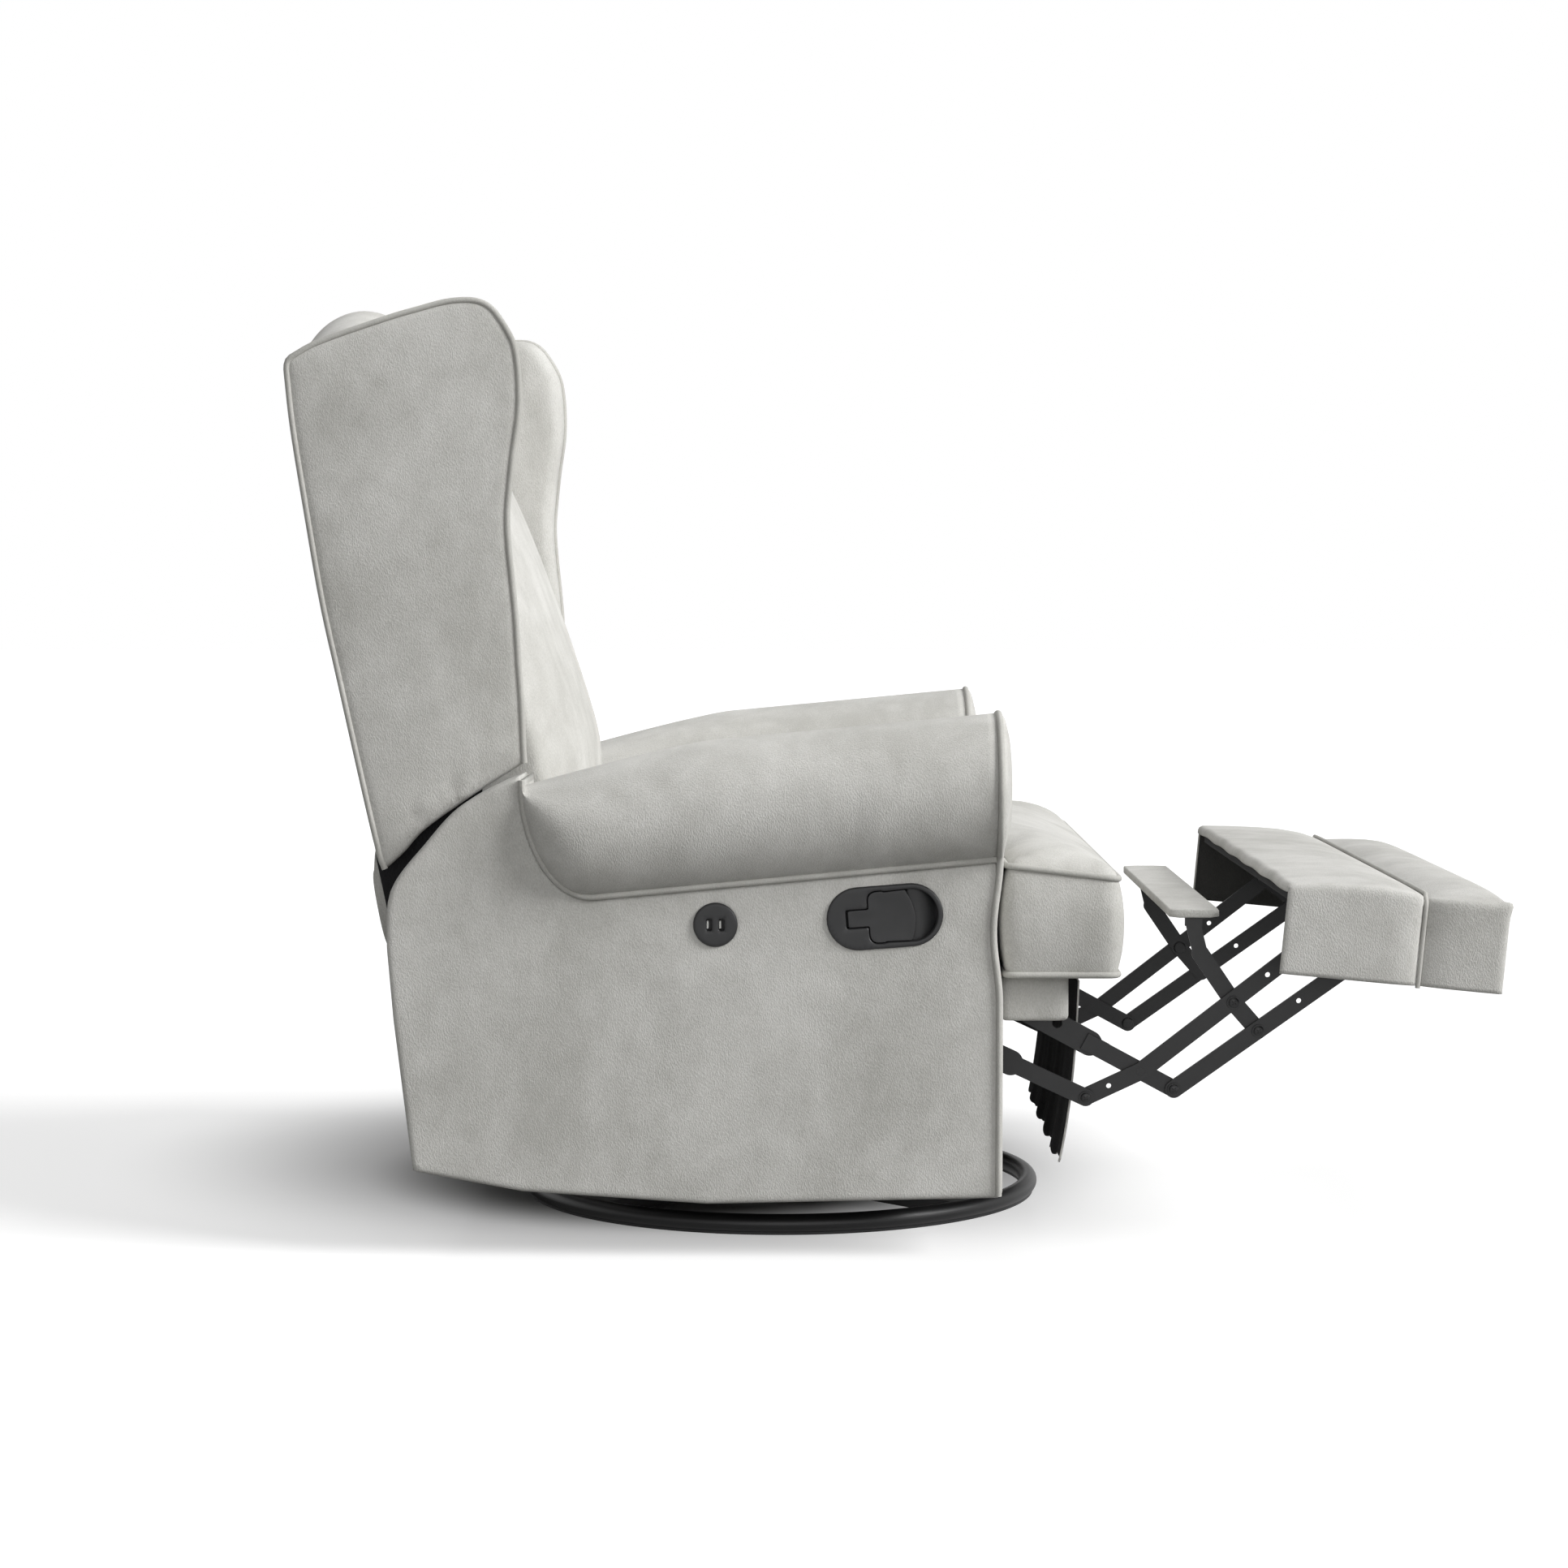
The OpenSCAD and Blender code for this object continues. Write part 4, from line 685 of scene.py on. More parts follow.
def roll_low(x):
    """The height of the seam under the roll."""
    return roll_axis(x) - ROLL_FLAT


def roll_seam(inset, count=14):
    """The seam of the roll on the side panel, from the front to the top of its rear end."""
    tail_x = ROLL_REAR_X + ROLL_TAIL
    turn = np.radians(np.linspace(0, 90, count))
    xs = ROLL_REAR_X + (ROLL_TAIL + inset) * (1 - np.sin(turn)) - inset
    zs = roll_low(tail_x) + TAIL_H * (1 - np.cos(turn)) - inset * np.cos(turn)
    return np.concatenate([[(ARM_FRONT_X, roll_low(ARM_FRONT_X) - inset)], np.stack([xs, zs], axis=1)])


panel_rear = curved([on_panel(s) for s in PANEL_REAR_SHARES[:6]], 5)
panel_outline = evenly(
    list(panel_rear) + [on_panel(s) for s in PANEL_REAR_SHARES[6:]] + [on_panel(s) for s in PANEL_LOW_SHARES[1:]]
    + [on_panel(s) for s in PANEL_FRONT_SHARES[1:]] + list(roll_seam(0.0015)), 0.006)
at_front = panel_outline[:, 0] > panel_outline[:, 0].max() - 0.004
panel_outline[at_front, 0] -= dent(panel_outline[at_front, 1])
print("side panel outline:", len(panel_outline), "points")

# %% [markdown]
# ## Openings for the handle and the sockets
# The handle's cup is an oval with straight sides, tilted a little, and the sockets' plate is a circle. Both outlines
# could be typed in as points. They are worked out from their lengths and radii instead, because the panel's hole and
# the plastic piece in it then come from the same numbers.

# %% Handle and socket outlines
CUP_X, CUP_Z, CUP_TILT = 0.119, 0.382, math.radians(4.5)
CUP_LEN, CUP_H = 0.129, 0.070
SOCKET_X, SOCKET_Z, SOCKET_D = -0.068, 0.373, 0.049


def stadium(inset=0.0):
    """The handle cup's outline in its own plane, drawn in by inset."""
    reach, r = (CUP_LEN - CUP_H) / 2, CUP_H / 2 - inset
    return np.concatenate([arc((reach, 0), r, -90, 90, 16), arc((-reach, 0), r, 90, 270, 16)])


def on_cup(points):
    """Points of the cup's own plane in the side view."""
    c, s = math.cos(CUP_TILT), math.sin(CUP_TILT)
    return np.array([(CUP_X + u * c - v * s, CUP_Z + u * s + v * c) for u, v in points])


def circle(centre, radius, count=32):
    """A closed circle, its first point not repeated."""
    return arc(centre, radius, 0, 360, count + 1)[:-1]


def upright(side):
    """Stands a board up along one side of the chair: its outline in the side view, its thickness across."""
    return lambda u, v, w: (u, side * w, v)


print("cup outline:", len(stadium()), "points; sockets", SOCKET_D, "across")

# %% Side panels
PANEL_EDGE, PANEL_SWELL = 0.0055, 0.0012
CUP_LAP, SOCKET_LAP = 0.0045, 0.0038


def make_side_panel(side, word):
    """One side panel and the welt between it and the roll."""
    holes = []
    if side < 0:
        holes = [on_cup(evenly(stadium(CUP_LAP), 0.004)),
                 circle((SOCKET_X, SOCKET_Z), SOCKET_D / 2 - SOCKET_LAP, 36)]
    points, faces = board(panel_outline, upright(side), PANEL_OUT_Y, PANEL_IN_Y, PANEL_EDGE, 0.001, PANEL_SWELL,
                          holes=holes, spacing=0.016)
    panel = new_piece("side_cover_" + word, points, faces, GREY_CLOTH)
    fit(panel, "chair", stands_for=["side_panel_" + word])
    seam = evenly(roll_seam(0.0005, 24), 0.006, closed=False)
    cord("roll_welt_" + word, [(x, side * (PANEL_OUT_Y + 0.0018), z) for x, z in seam], "chair")
    return panel


for side, word in SIDES:
    panel = make_side_panel(side, word)
    print(panel.name, len(panel.data.polygons), "faces")

# %% [markdown]
# ## Rolled arms
# The roll is foam on a round board, with the cloth drawn tight under it to the seam. It could be swept from one round
# section, but the real one flattens towards the seam and sinks and narrows at its rear end, where the back swings past.
# So it is lofted through sections along the arm, each of them worked out at its own place.

# %% Rolled arms
ROLL_IN_Y, INNER_FALL = 0.299, 0.055
SWELL, SWELL_LEN, SOFT = 0.048, 0.088, 0.014
DROP, DROP_FROM_X, DROP_LEN = 0.030, -0.075, 0.2


def over_seam(x, y, z):
    """The roll's reach across: its round section, softly held back by the swell that starts at the seam."""
    gap = min(np.hypot(SEAM_LINE[:, 0] - x, SEAM_LINE[:, 1] - z).min() / SWELL_LEN, 1)
    limit = PANEL_OUT_Y - 0.0005 + SWELL * (1 - (1 - gap) ** 2) ** 0.65
    blend = max(SOFT - abs(limit - y), 0) / SOFT
    return min(limit, y) - blend ** 2 * SOFT / 4


def rear_drop(x):
    """How far the top of the roll falls towards its rear end."""
    return DROP * min(max((DROP_FROM_X - x) / DROP_LEN, 0), 1.1) ** 1.25


SEAM_LINE = evenly(roll_seam(0, 40), 0.002, closed=False)


def roll_section(x, low, count=44):
    """One closed section of the roll at x, on a foot at height low."""
    r, zc = ROLL_R, roll_axis(x)
    start = math.asin(np.clip((low - zc) / r, -0.999, 0.999))
    top = min(INNER_FALL, (zc + r - low) * 0.8)
    outer = [(ROLL_Y + r * math.cos(a), zc + r * math.sin(a)) for a in np.linspace(start, math.pi / 2, count)]
    inner = np.linspace(math.pi / 2, math.pi, count // 2)[1:]
    ring = [(ROLL_IN_Y, low)] + [(over_seam(x, y, z) if x < 0.1 else y, z) for y, z in outer]
    ring += [(ROLL_Y + (ROLL_Y - ROLL_IN_Y) * math.cos(a), zc + r - top + top * math.sin(a)) for a in inner]
    return [(x, y, z - rear_drop(x) * (z - low) / (zc + r - low)) for y, z in ring]


def loft(rings):
    """Points and faces of a closed skin through rings of equal count."""
    n = len(rings[0])
    points = [p for ring in rings for p in ring]
    faces = [(i * n + j, i * n + (j + 1) % n, (i + 1) * n + (j + 1) % n, (i + 1) * n + j)
             for i in range(len(rings) - 1) for j in range(n)]
    faces += [tuple(reversed(range(n))), tuple(range((len(rings) - 1) * n, len(rings) * n))]
    return points, faces


def make_roll(side, word):
    """One rolled arm, from its rounded rear end to its front."""
    tail_x = ROLL_REAR_X + ROLL_TAIL
    sections = []
    for turn in np.radians(np.linspace(0, 90, 30)):
        x = ROLL_REAR_X + 0.0003 + ROLL_TAIL * (1 - math.cos(turn))
        sections.append(roll_section(x, roll_low(tail_x) + TAIL_H * (1 - math.sin(turn))))
    for x in np.linspace(tail_x, ARM_FRONT_X, 40)[1:]:
        sections.append(roll_section(x, roll_low(x)))
    points, faces = loft([[(x, side * y, z) for x, y, z in ring] for ring in sections])
    roll = new_piece("arm_roll_cover_" + word, points, faces, GREY_CLOTH)
    return fit(roll, "chair", stands_for=["arm_roll_" + word], fill_share=0.9)


for side, word in SIDES:
    roll = make_roll(side, word)
    print(roll.name, len(roll.data.polygons), "faces")

# %% [markdown]
# ## Arm fronts
# The front of each arm is one padded piece shaped like a keyhole: the round end of the roll on a straight leg. A welt
# runs round it, and the padding makes it bulge forwards most in the round part. It could be part of the rolled arm's
# loft, but the real one is a separate padded board that is nailed on last, so it is a board here, with its own outline.

# %% Arm fronts
FRONT_FACE_X = 0.2506
LEG_IN_Y, LEG_OUT_Y, LEG_LOW_Z, RAIL_TOP_Z = 0.3226, 0.4475, 0.071, 0.3088
BULGE, BULGE_REACH, BULGE_FROM_Z = 0.0105, 0.022, 0.44


def scroll_outline():
    """The keyhole, seen from the front: out along the leg's foot, up, round the roll, and down to the seat's rail."""
    zc = roll_axis(ARM_FRONT_X)
    low = roll_low(ARM_FRONT_X)
    start = math.degrees(math.asin((low - zc) / ROLL_R))
    top = zc + ROLL_R - INNER_FALL
    inner = [(ROLL_Y + (ROLL_Y - ROLL_IN_Y) * math.cos(a), top + INNER_FALL * math.sin(a))
             for a in np.radians(np.linspace(90, 180, 14))[1:]]
    return np.array([(LEG_IN_Y, LEG_LOW_Z), (LEG_OUT_Y, LEG_LOW_Z), (LEG_OUT_Y, low - 0.012)]
                    + list(arc((ROLL_Y, zc), ROLL_R, start + 2, 90, 30)) + inner
                    + [(0.3005, RAIL_TOP_Z), (LEG_IN_Y, RAIL_TOP_Z)])


def make_arm_front(side, word):
    """One arm front and the welt round it."""
    outline = evenly(scroll_outline(), 0.005)

    def bulge(flat, gap):
        high = np.clip((flat[:, 1] - BULGE_FROM_Z) / 0.05, 0, 1)
        return BULGE * (1 - np.exp(-gap / BULGE_REACH)) * high * high * (3 - 2 * high)

    def place(u, v, w):
        return (w - dent(v), side * u, v)

    points, faces = board(outline, place, FRONT_FACE_X - 0.0005, ARM_FRONT_X + 0.0003, 0.005, 0.001,
                          near_shape=bulge, spacing=0.012)
    front = new_piece("arm_front_cover_" + word, points, faces, GREY_CLOTH)
    fit(front, "chair", stands_for=["arm_front_" + word], fill_share=0.8)
    around = evenly(scroll_outline()[1:], 0.006, closed=False)
    path = [(ARM_FRONT_X + 0.0035 - dent(z), side * (y + 0.001), z) for y, z in around]
    cord("arm_front_welt_" + word, path, "chair")
    return front


for side, word in SIDES:
    front = make_arm_front(side, word)
    print(front.name, len(front.data.polygons), "faces")

# %% [markdown]
# ## Puffing up a cover
# A real cushion is a cover sewn a little too small for its filling, so the filling pushes the cloth out between the
# seams and the seams pull it in. A formula can draw the crown, but not the way in which the cloth slackens next to a
# seam. The cloth simulation can: the cover is remeshed to even squares, its seams are pinned, air pressure pushes from
# inside for twenty frames, and no point may move further than a set distance.

# %% Cloth simulation
VOXEL, FRAMES = 0.0065, 20
CLOTH_RULES = {"quality": 4, "mass": 0.25, "air_damping": 2.0, "tension_stiffness": 18, "compression_stiffness": 18,
               "shear_stiffness": 6, "bending_stiffness": 0.6, "use_pressure": True, "vertex_group_mass": "sewn"}


def inflated(piece, sewn, pressure, cap):
    """Puffs up a closed cover. sewn gives 0 to 1 for each point: how firmly it is held."""
    finish = piece.data.materials[0]
    remesh = piece.modifiers.new("squares", "REMESH")
    remesh.mode = "VOXEL"
    remesh.voxel_size = VOXEL
    remesh.use_smooth_shade = True
    relax = piece.modifiers.new("relax", "SMOOTH")
    relax.factor = 0.5
    relax.iterations = 3
    applied(piece)
    count = len(piece.data.vertices)
    start = np.empty(count * 3)
    piece.data.vertices.foreach_get("co", start)
    start = start.reshape(-1, 3)
    held = np.clip(sewn(start), 0, 1)
    group = piece.vertex_groups.new(name="sewn")
    for level, over, upto in ((1.0, 0.8, 1.0), (0.6, 0.45, 0.8), (0.3, 0.15, 0.45)):
        close = (held > over) & (held <= upto)
        group.add([int(i) for i in np.nonzero(close)[0]], level, "REPLACE")
    cloth_mod = piece.modifiers.new("cloth", "CLOTH")
    for key, value in CLOTH_RULES.items():
        setattr(cloth_mod.settings, key, value)
    cloth_mod.settings.uniform_pressure_force = pressure
    cloth_mod.settings.effector_weights.gravity = 0
    cloth_mod.collision_settings.use_collision = False
    cloth_mod.point_cache.frame_start = 1
    cloth_mod.point_cache.frame_end = FRAMES
    scene = bpy.context.scene
    for moment in range(1, FRAMES + 1):
        scene.frame_set(moment)
    applied(piece)
    scene.frame_set(1)
    moved = np.empty(count * 3)
    piece.data.vertices.foreach_get("co", moved)
    moved = moved.reshape(-1, 3) - start
    far = np.linalg.norm(moved, axis=1)
    limit = cap * np.tanh(far / cap) / np.maximum(far, 1e-9)
    piece.data.vertices.foreach_set("co", (start + moved * limit[:, None]).ravel())
    piece.data.polygons.foreach_set("use_smooth", [True] * len(piece.data.polygons))
    piece.data.materials.clear()
    piece.data.materials.append(finish)
    piece.data.polygons.foreach_set("material_index", [0] * len(piece.data.polygons))
    piece.vertex_groups.clear()
    piece.data.update()
    print("  puffed", piece.name, count, "points, up to", round(far.max() / MM, 1), "mm, kept",
          round((far * limit).max() / MM, 1), "mm")
    return piece


def near_line(points, line, reach):
    """1 on a line of points, falling to 0 at reach from it."""
    line = np.asarray(line)
    best = np.full(len(points), 1e9)
    for first in range(0, len(line), 40):
        part = line[first:first + 40]
        gap = np.linalg.norm(points[:, None] - part[None], axis=2)
        best = np.minimum(best, gap.min(axis=1))
    return np.clip(1.6 - best / reach, 0, 1)


print("cloth simulation:", f"{FRAMES} frames a cushion")

# %% [markdown]
# ## Seat cushion
# A T cushion: its ears wrap round the fronts of the arms. The crown rises steeply from the welted edge and the
# boxing band between the two welts bellies out. It could start as a flat slab and leave all the shape to the pressure,
# but that swells as a ball does. So it starts with most of its crown, and the simulation adds what loose cloth does.

# %% Seat cushion
CUSHION = {"half": 0.296, "ear": 0.430, "nose": 0.3795, "rear": -0.231, "low": 0.3115, "seam": 0.438, "fall": 0.015}
EAR_REAR_X = 0.2535
CROWN, CROWN_REACH, EAR_DENT = 0.034, 0.028, 0.006
BOXING = [(0.12, 0.003), (0.3, 0.006), (0.5, 0.007), (0.7, 0.006), (0.88, 0.003)]


def t_outline():
    """The T, seen from above, its corners as round as the cushion's own."""
    c = CUSHION
    corners = [(c["rear"], -c["half"]), (EAR_REAR_X, -c["half"]), (EAR_REAR_X, -c["ear"]), (c["nose"], -c["ear"]),
               (c["nose"], c["ear"]), (EAR_REAR_X, c["ear"]), (EAR_REAR_X, c["half"]), (c["rear"], c["half"])]
    return evenly(rounded(corners, [0.03, 0.006, 0.01, 0.014, 0.014, 0.01, 0.006, 0.03]), 0.007)


def seam_z(x):
    """The upper welt's height, which falls over the ears to the nose."""
    return CUSHION["seam"] - CUSHION["fall"] * np.clip((x - EAR_REAR_X) / (CUSHION["nose"] - EAR_REAR_X), 0, 1)


def crown(flat, gap):
    """The filling's height over the welt: full within 3 cm of it, lower at the rear, pressed in beside the arms."""
    rear = 0.75 + 0.25 * np.clip((flat[:, 0] - CUSHION["rear"]) / 0.3, 0, 1)
    beside = EAR_DENT * np.exp(-((flat[:, 0] - EAR_REAR_X - 0.012) / 0.02) ** 2
                               - ((abs(flat[:, 1]) - 0.40) / 0.03) ** 2)
    return seam_z(flat[:, 0]) - CUSHION["seam"] + CROWN * (1 - np.exp(-gap / CROWN_REACH)) * rear - beside


seat_outline = t_outline()
seat_share = 0.8
points, faces = board(seat_outline, lambda u, v, w: (u, v, w), CUSHION["seam"], CUSHION["low"], 0.004, 0.006,
                      near_shape=lambda flat, gap: crown(flat, gap) * seat_share, spacing=0.012,
                      rows=(0.0015, 0.004, 0.008, 0.014), band=BOXING)
seat = new_piece("seat_cushion_cover", points, faces, GREY_CLOTH)
top_seam = [(x, y, seam_z(x) - 0.001) for x, y in seat_outline]
low_seam = [(x, y, CUSHION["low"] + 0.0036) for x, y in seat_outline]


def seat_sewn(p):
    """Held along the upper welt, where it rests on the webbing, and between the arms."""
    rests = np.clip((CUSHION["low"] + 0.012 - p[:, 2]) / 0.006, 0, 1)
    behind_arm = np.clip((EAR_REAR_X + 0.006 - p[:, 0]) / 0.006, 0, 1) * (p[:, 2] < 0.44)
    return np.maximum(np.maximum(near_line(p, top_seam, 0.008), rests), behind_arm)


inflated(seat, seat_sewn, pressure=4.0, cap=0.012)
fit(seat, "chair", stands_for=["seat_cushion"], fill_share=0.85)
cord("seat_welt_top", top_seam, "chair", closed=True)
cord("seat_welt_low", low_seam, "chair", closed=True)
print(seat.name, len(seat.data.polygons), "faces")

# %% [markdown]
# ## Back cushion
# The inner back is one tall pillow between the wings. It is deepest at the lumbar swell, runs up thinner to the crown,
# and closes over the top of the outside back. A subdivided box could be pushed into that shape, but it is hard to
# measure. It is lofted through level rows, because each row is three measured depths and a width.

# %% Back cushion
# Each row across the cushion: its height, the depth of its rear and of its front, and half its width.
BACK_PAD_ROWS = [
    (-0.058, 0.140, 0.168, 0.262), (-0.053, 0.128, 0.186, 0.270), (-0.036, 0.112, 0.199, 0.276),
    (-0.013, 0.075, 0.2085, 0.278), (0.004, 0.0405, 0.2195, 0.280), (0.022, 0.0405, 0.2295, 0.282),
    (0.040, 0.0405, 0.2365, 0.286), (0.070, 0.0405, 0.240, 0.290), (0.144, 0.0405, 0.234, 0.290),
    (0.268, 0.0405, 0.217, 0.290), (0.380, 0.0405, 0.197, 0.290), (0.485, 0.0405, 0.168, 0.290),
    (0.545, 0.0405, 0.146, 0.291), (0.570, 0.0405, 0.134, 0.294), (0.5778, 0.0405, 0.130, 0.296),
    (0.5783, -0.004, 0.1297, 0.296), (0.600, -0.003, 0.119, 0.302), (0.615, 0.001, 0.111, 0.302),
    (0.628, 0.007, 0.105, 0.302), (0.638, 0.015, 0.099, 0.301), (0.646, 0.026, 0.092, 0.300),
    (0.651, 0.038, 0.083, 0.299), (0.6532, 0.047, 0.074, 0.298), (0.6541, 0.0545, 0.0665, 0.297),
    (0.6543, 0.0592, 0.0618, 0.297)]
LEDGE = 15
SIDE_DRAW, CROWN_DRAW, BACK_SIDE = 0.007, 0.002, 0.74
CROWN_SAG, LEDGE_V, TUCK = 0.84, 0.5783, 0.014


def back_section(row, count=64):
    """One level row of the pillow. Above the ledge it sags towards the sides and its rear is tucked in."""
    v, rear, f, w = row
    edge = rear + (f - rear) * BACK_SIDE
    u = -np.cos(np.linspace(0, math.pi, count))
    rise = max(v - LEDGE_V, 0)
    tuck = TUCK * min(rise / 0.03, 1)
    drawn = SIDE_DRAW if rise == 0 else CROWN_DRAW

    def at(depth, t, half):
        return on_back(depth, t * half, v - rise * CROWN_SAG * abs(t) ** 1.9)

    front = [at(edge + (f - edge) * (1 - t * t) ** 0.6, t, w - drawn / 2) for t in u]
    middle = (rear + edge) / 2
    back = [at(rear + tuck * abs(t) ** 1.5, t, w - drawn) for t in np.linspace(1, -1, 24)]
    return [at(middle, -1, w)] + front + [at(middle, 1, w)] + back


back_rows = list(curved(BACK_PAD_ROWS[:LEDGE], 5)) + list(curved(BACK_PAD_ROWS[LEDGE:], 4))
points, faces = loft([back_section(row) for row in back_rows])
inner_back = new_piece("inner_back_cover", points, faces, GREY_CLOTH)


def back_sewn(p):
    """Held at the rear, at the sides and round the bottom; free on the front and the crown."""
    c, s = math.cos(BACK_LEAN), math.sin(BACK_LEAN)
    dx, dz = p[:, 0] - BACK_FOOT[0], p[:, 2] - BACK_FOOT[1]
    depth, height = dx * c + dz * s, dz * c - dx * s
    rear = np.clip((0.062 - depth) / 0.012, 0, 1) * np.clip((0.60 - height) / 0.012, 0, 1)
    side = np.clip((abs(p[:, 1]) - 0.276) / 0.008, 0, 1)
    return np.maximum.reduce([rear, side, np.clip((0.012 - height) / 0.012, 0, 1)])


inflated(inner_back, back_sewn, pressure=3.0, cap=0.007)
fit(inner_back, "back", stands_for=["back_cushion"], fill_share=0.85)
print(inner_back.name, len(inner_back.data.polygons), "faces")

# %% [markdown]
# ## Outside back
# The rear of the back is a padded panel between the wings' rear edges. A flat board would show the frame at its sides,
# where the wings bow out, so the panel is lofted: each row gives its width and how far its edges stand out.

# %% Outside back
OUTER_HALF, OUTBACK_H, OUTBACK_DROP, OUTBACK_T, POST_D = 0.301, 0.584, 0.092, 0.004, 0.012
# Each row: its share of the height, its share of the width, and how far its edge stands out.
OUTER_ROWS = [(-1, 0.985, 0.022), (-0.95, 0.998, 0.032), (-0.5, 1, 0.034), (-0.05, 1, 0.031), (0.06, 1, 0.018),
              (0.12, 1, 0.0145), (0.2, 1.008, 0.0158), (0.38, 1.014, 0.017), (0.534, 1.014, 0.0185),
              (0.70, 1.014, 0.0155), (0.867, 1.014, 0.0115), (0.97, 1.01, 0.006), (1, 0.998, 0.003)]


def outer_section(share, width, edge, count=40):
    """One level row of the panel: flat inside, softly arched outside."""
    v = share * (OUTBACK_DROP if share < 0 else OUTBACK_H)
    w, d = OUTER_HALF * width, POST_D - 0.001
    u = np.sin(np.linspace(math.pi / 2, -math.pi / 2, count))
    swell = np.sqrt(np.maximum(1 - u ** 4, 0))
    return [on_back(d, -w, v), on_back(d, w, v)] + [on_back(d - edge - OUTBACK_T * s, t * w, v)
                                                    for t, s in zip(u, swell)]


points, faces = loft([outer_section(a, b, c) for a, b, c in curved(OUTER_ROWS, 6)])
outer_back = new_piece("outer_back_cover", points, faces, GREY_CLOTH)
fit(outer_back, "back", stands_for=["back_outer_panel"], fill_share=0.8)
print(outer_back.name, len(outer_back.data.polygons), "faces")

# %% [markdown]
# ## Lining beside the back
# Black lining closes the gap between the wing and the outside back, where the hinge bracket moves. It hangs nearly
# flat, so cloth simulation would change little, and a thin board with an edge of half a millimetre is enough.

# %% Lining beside the outside back
LINING_FLAT = [(-0.012, -0.088), (0.010, -0.0915), (0.050, -0.070), (0.110, 0.020), (0.128, 0.086), (0.060, 0.090),
               (0.0, 0.050), (-0.013, 0.016)]
LINING_OUT_Y, LINING_IN_Y = 0.3052, 0.3036


def make_lining(side, word):
    """The lining on one side of the back."""
    outline = evenly(rounded(LINING_FLAT, 0.006, 4), 0.006)
    points, faces = board(outline, lambda u, v, w: on_back(u, side * w, v), LINING_OUT_Y, LINING_IN_Y, 0.0006,
                          0.0006, spacing=0.012, rows=(0.0006, 0.002))
    lining = new_piece("back_lining_cover_" + word, points, faces, BLACK_CLOTH)
    return fit(lining, "back", "black_cloth", stands_for=["back_lining_" + word])


for side, word in SIDES:
    print(make_lining(side, word).name)

# %% [markdown]
# ## Footrest
# A cover is stretched over each pad: up one side, over the crown and down the other side. Between the pads a welt
# follows the same way round. The rear is open, and the front ends in a face of its own. A bevelled box would be as
# round everywhere. Here a grid is laid over the box and each point is moved by rules for the crown, the seam's pull and
# the tips, which keeps the covers open below, as they are.

# %% Footrest pads
FOOT_REAR = np.array([0.564, 0.415])
FOOT_SLOPE = math.radians(5.3)
FOOT_HALF, FOOT_LEN, PAD1_LEN, PAD_CROWN, SKIRT_DROP = 0.433, 0.250, 0.156, 0.012, 0.098
# The hill along each pad, as shares of the crown: low where the cloth is drawn down at the seam.
REAR_HILL = [(0, 0.33), (0.1, 0.5), (0.28, 0.75), (0.5, 0.95), (0.68, 1.0), (0.86, 0.8), (1, 0.3)]
FRONT_HILL = [(0, -0.3), (0.1, 0.08), (0.22, 0.42), (0.36, 0.72), (0.5, 0.9), (0.66, 1.0), (0.85, 0.93), (1, 0.6)]


def on_footrest(along, across, height):
    """A place on the sloping footrest, given flat."""
    c, s = math.cos(FOOT_SLOPE), math.sin(FOOT_SLOPE)
    return (FOOT_REAR[0] + along * c + height * s, across, FOOT_REAR[1] - along * s + height * c)


REAR_PINCH, FRONT_PINCH, HEM_PINCH = 0.0085, 0.0150, 0.0025
PUCKER_HIGH, TIP = 0.0011, 0.004


def pad_crown(along, across, x0, x1):
    """Height of the crown at a place of a pad: a long hill that sinks a little at both sides."""
    u = np.clip(abs(across) / FOOT_HALF, 0, 1)
    hill = REAR_HILL if x0 == 0 else FRONT_HILL
    share = np.interp((along - x0) / (x1 - x0), [t for t, _ in hill], [h for _, h in hill])
    pucker = PUCKER_HIGH * math.sin(41 * across + 1.2) * math.exp(-along / 0.04)
    return PAD_CROWN * (1 - (0.3 if x0 == 0 else 0.8) * u ** 7) * share + pucker


def side_pinch(along, height, x0):
    """How far a side is drawn in: at the welt, most on the front pad, and a little at the hem's free corner."""
    down = np.clip(-height / SKIRT_DROP, 0, 1)
    if x0 == 0:
        return REAR_PINCH * np.exp(-(PAD1_LEN - along) / 0.014) + HEM_PINCH * down * (1 - along / PAD1_LEN)
    return FRONT_PINCH * np.exp(-max(along - PAD1_LEN, 0) / 0.020) * (1 - 0.25 * down)


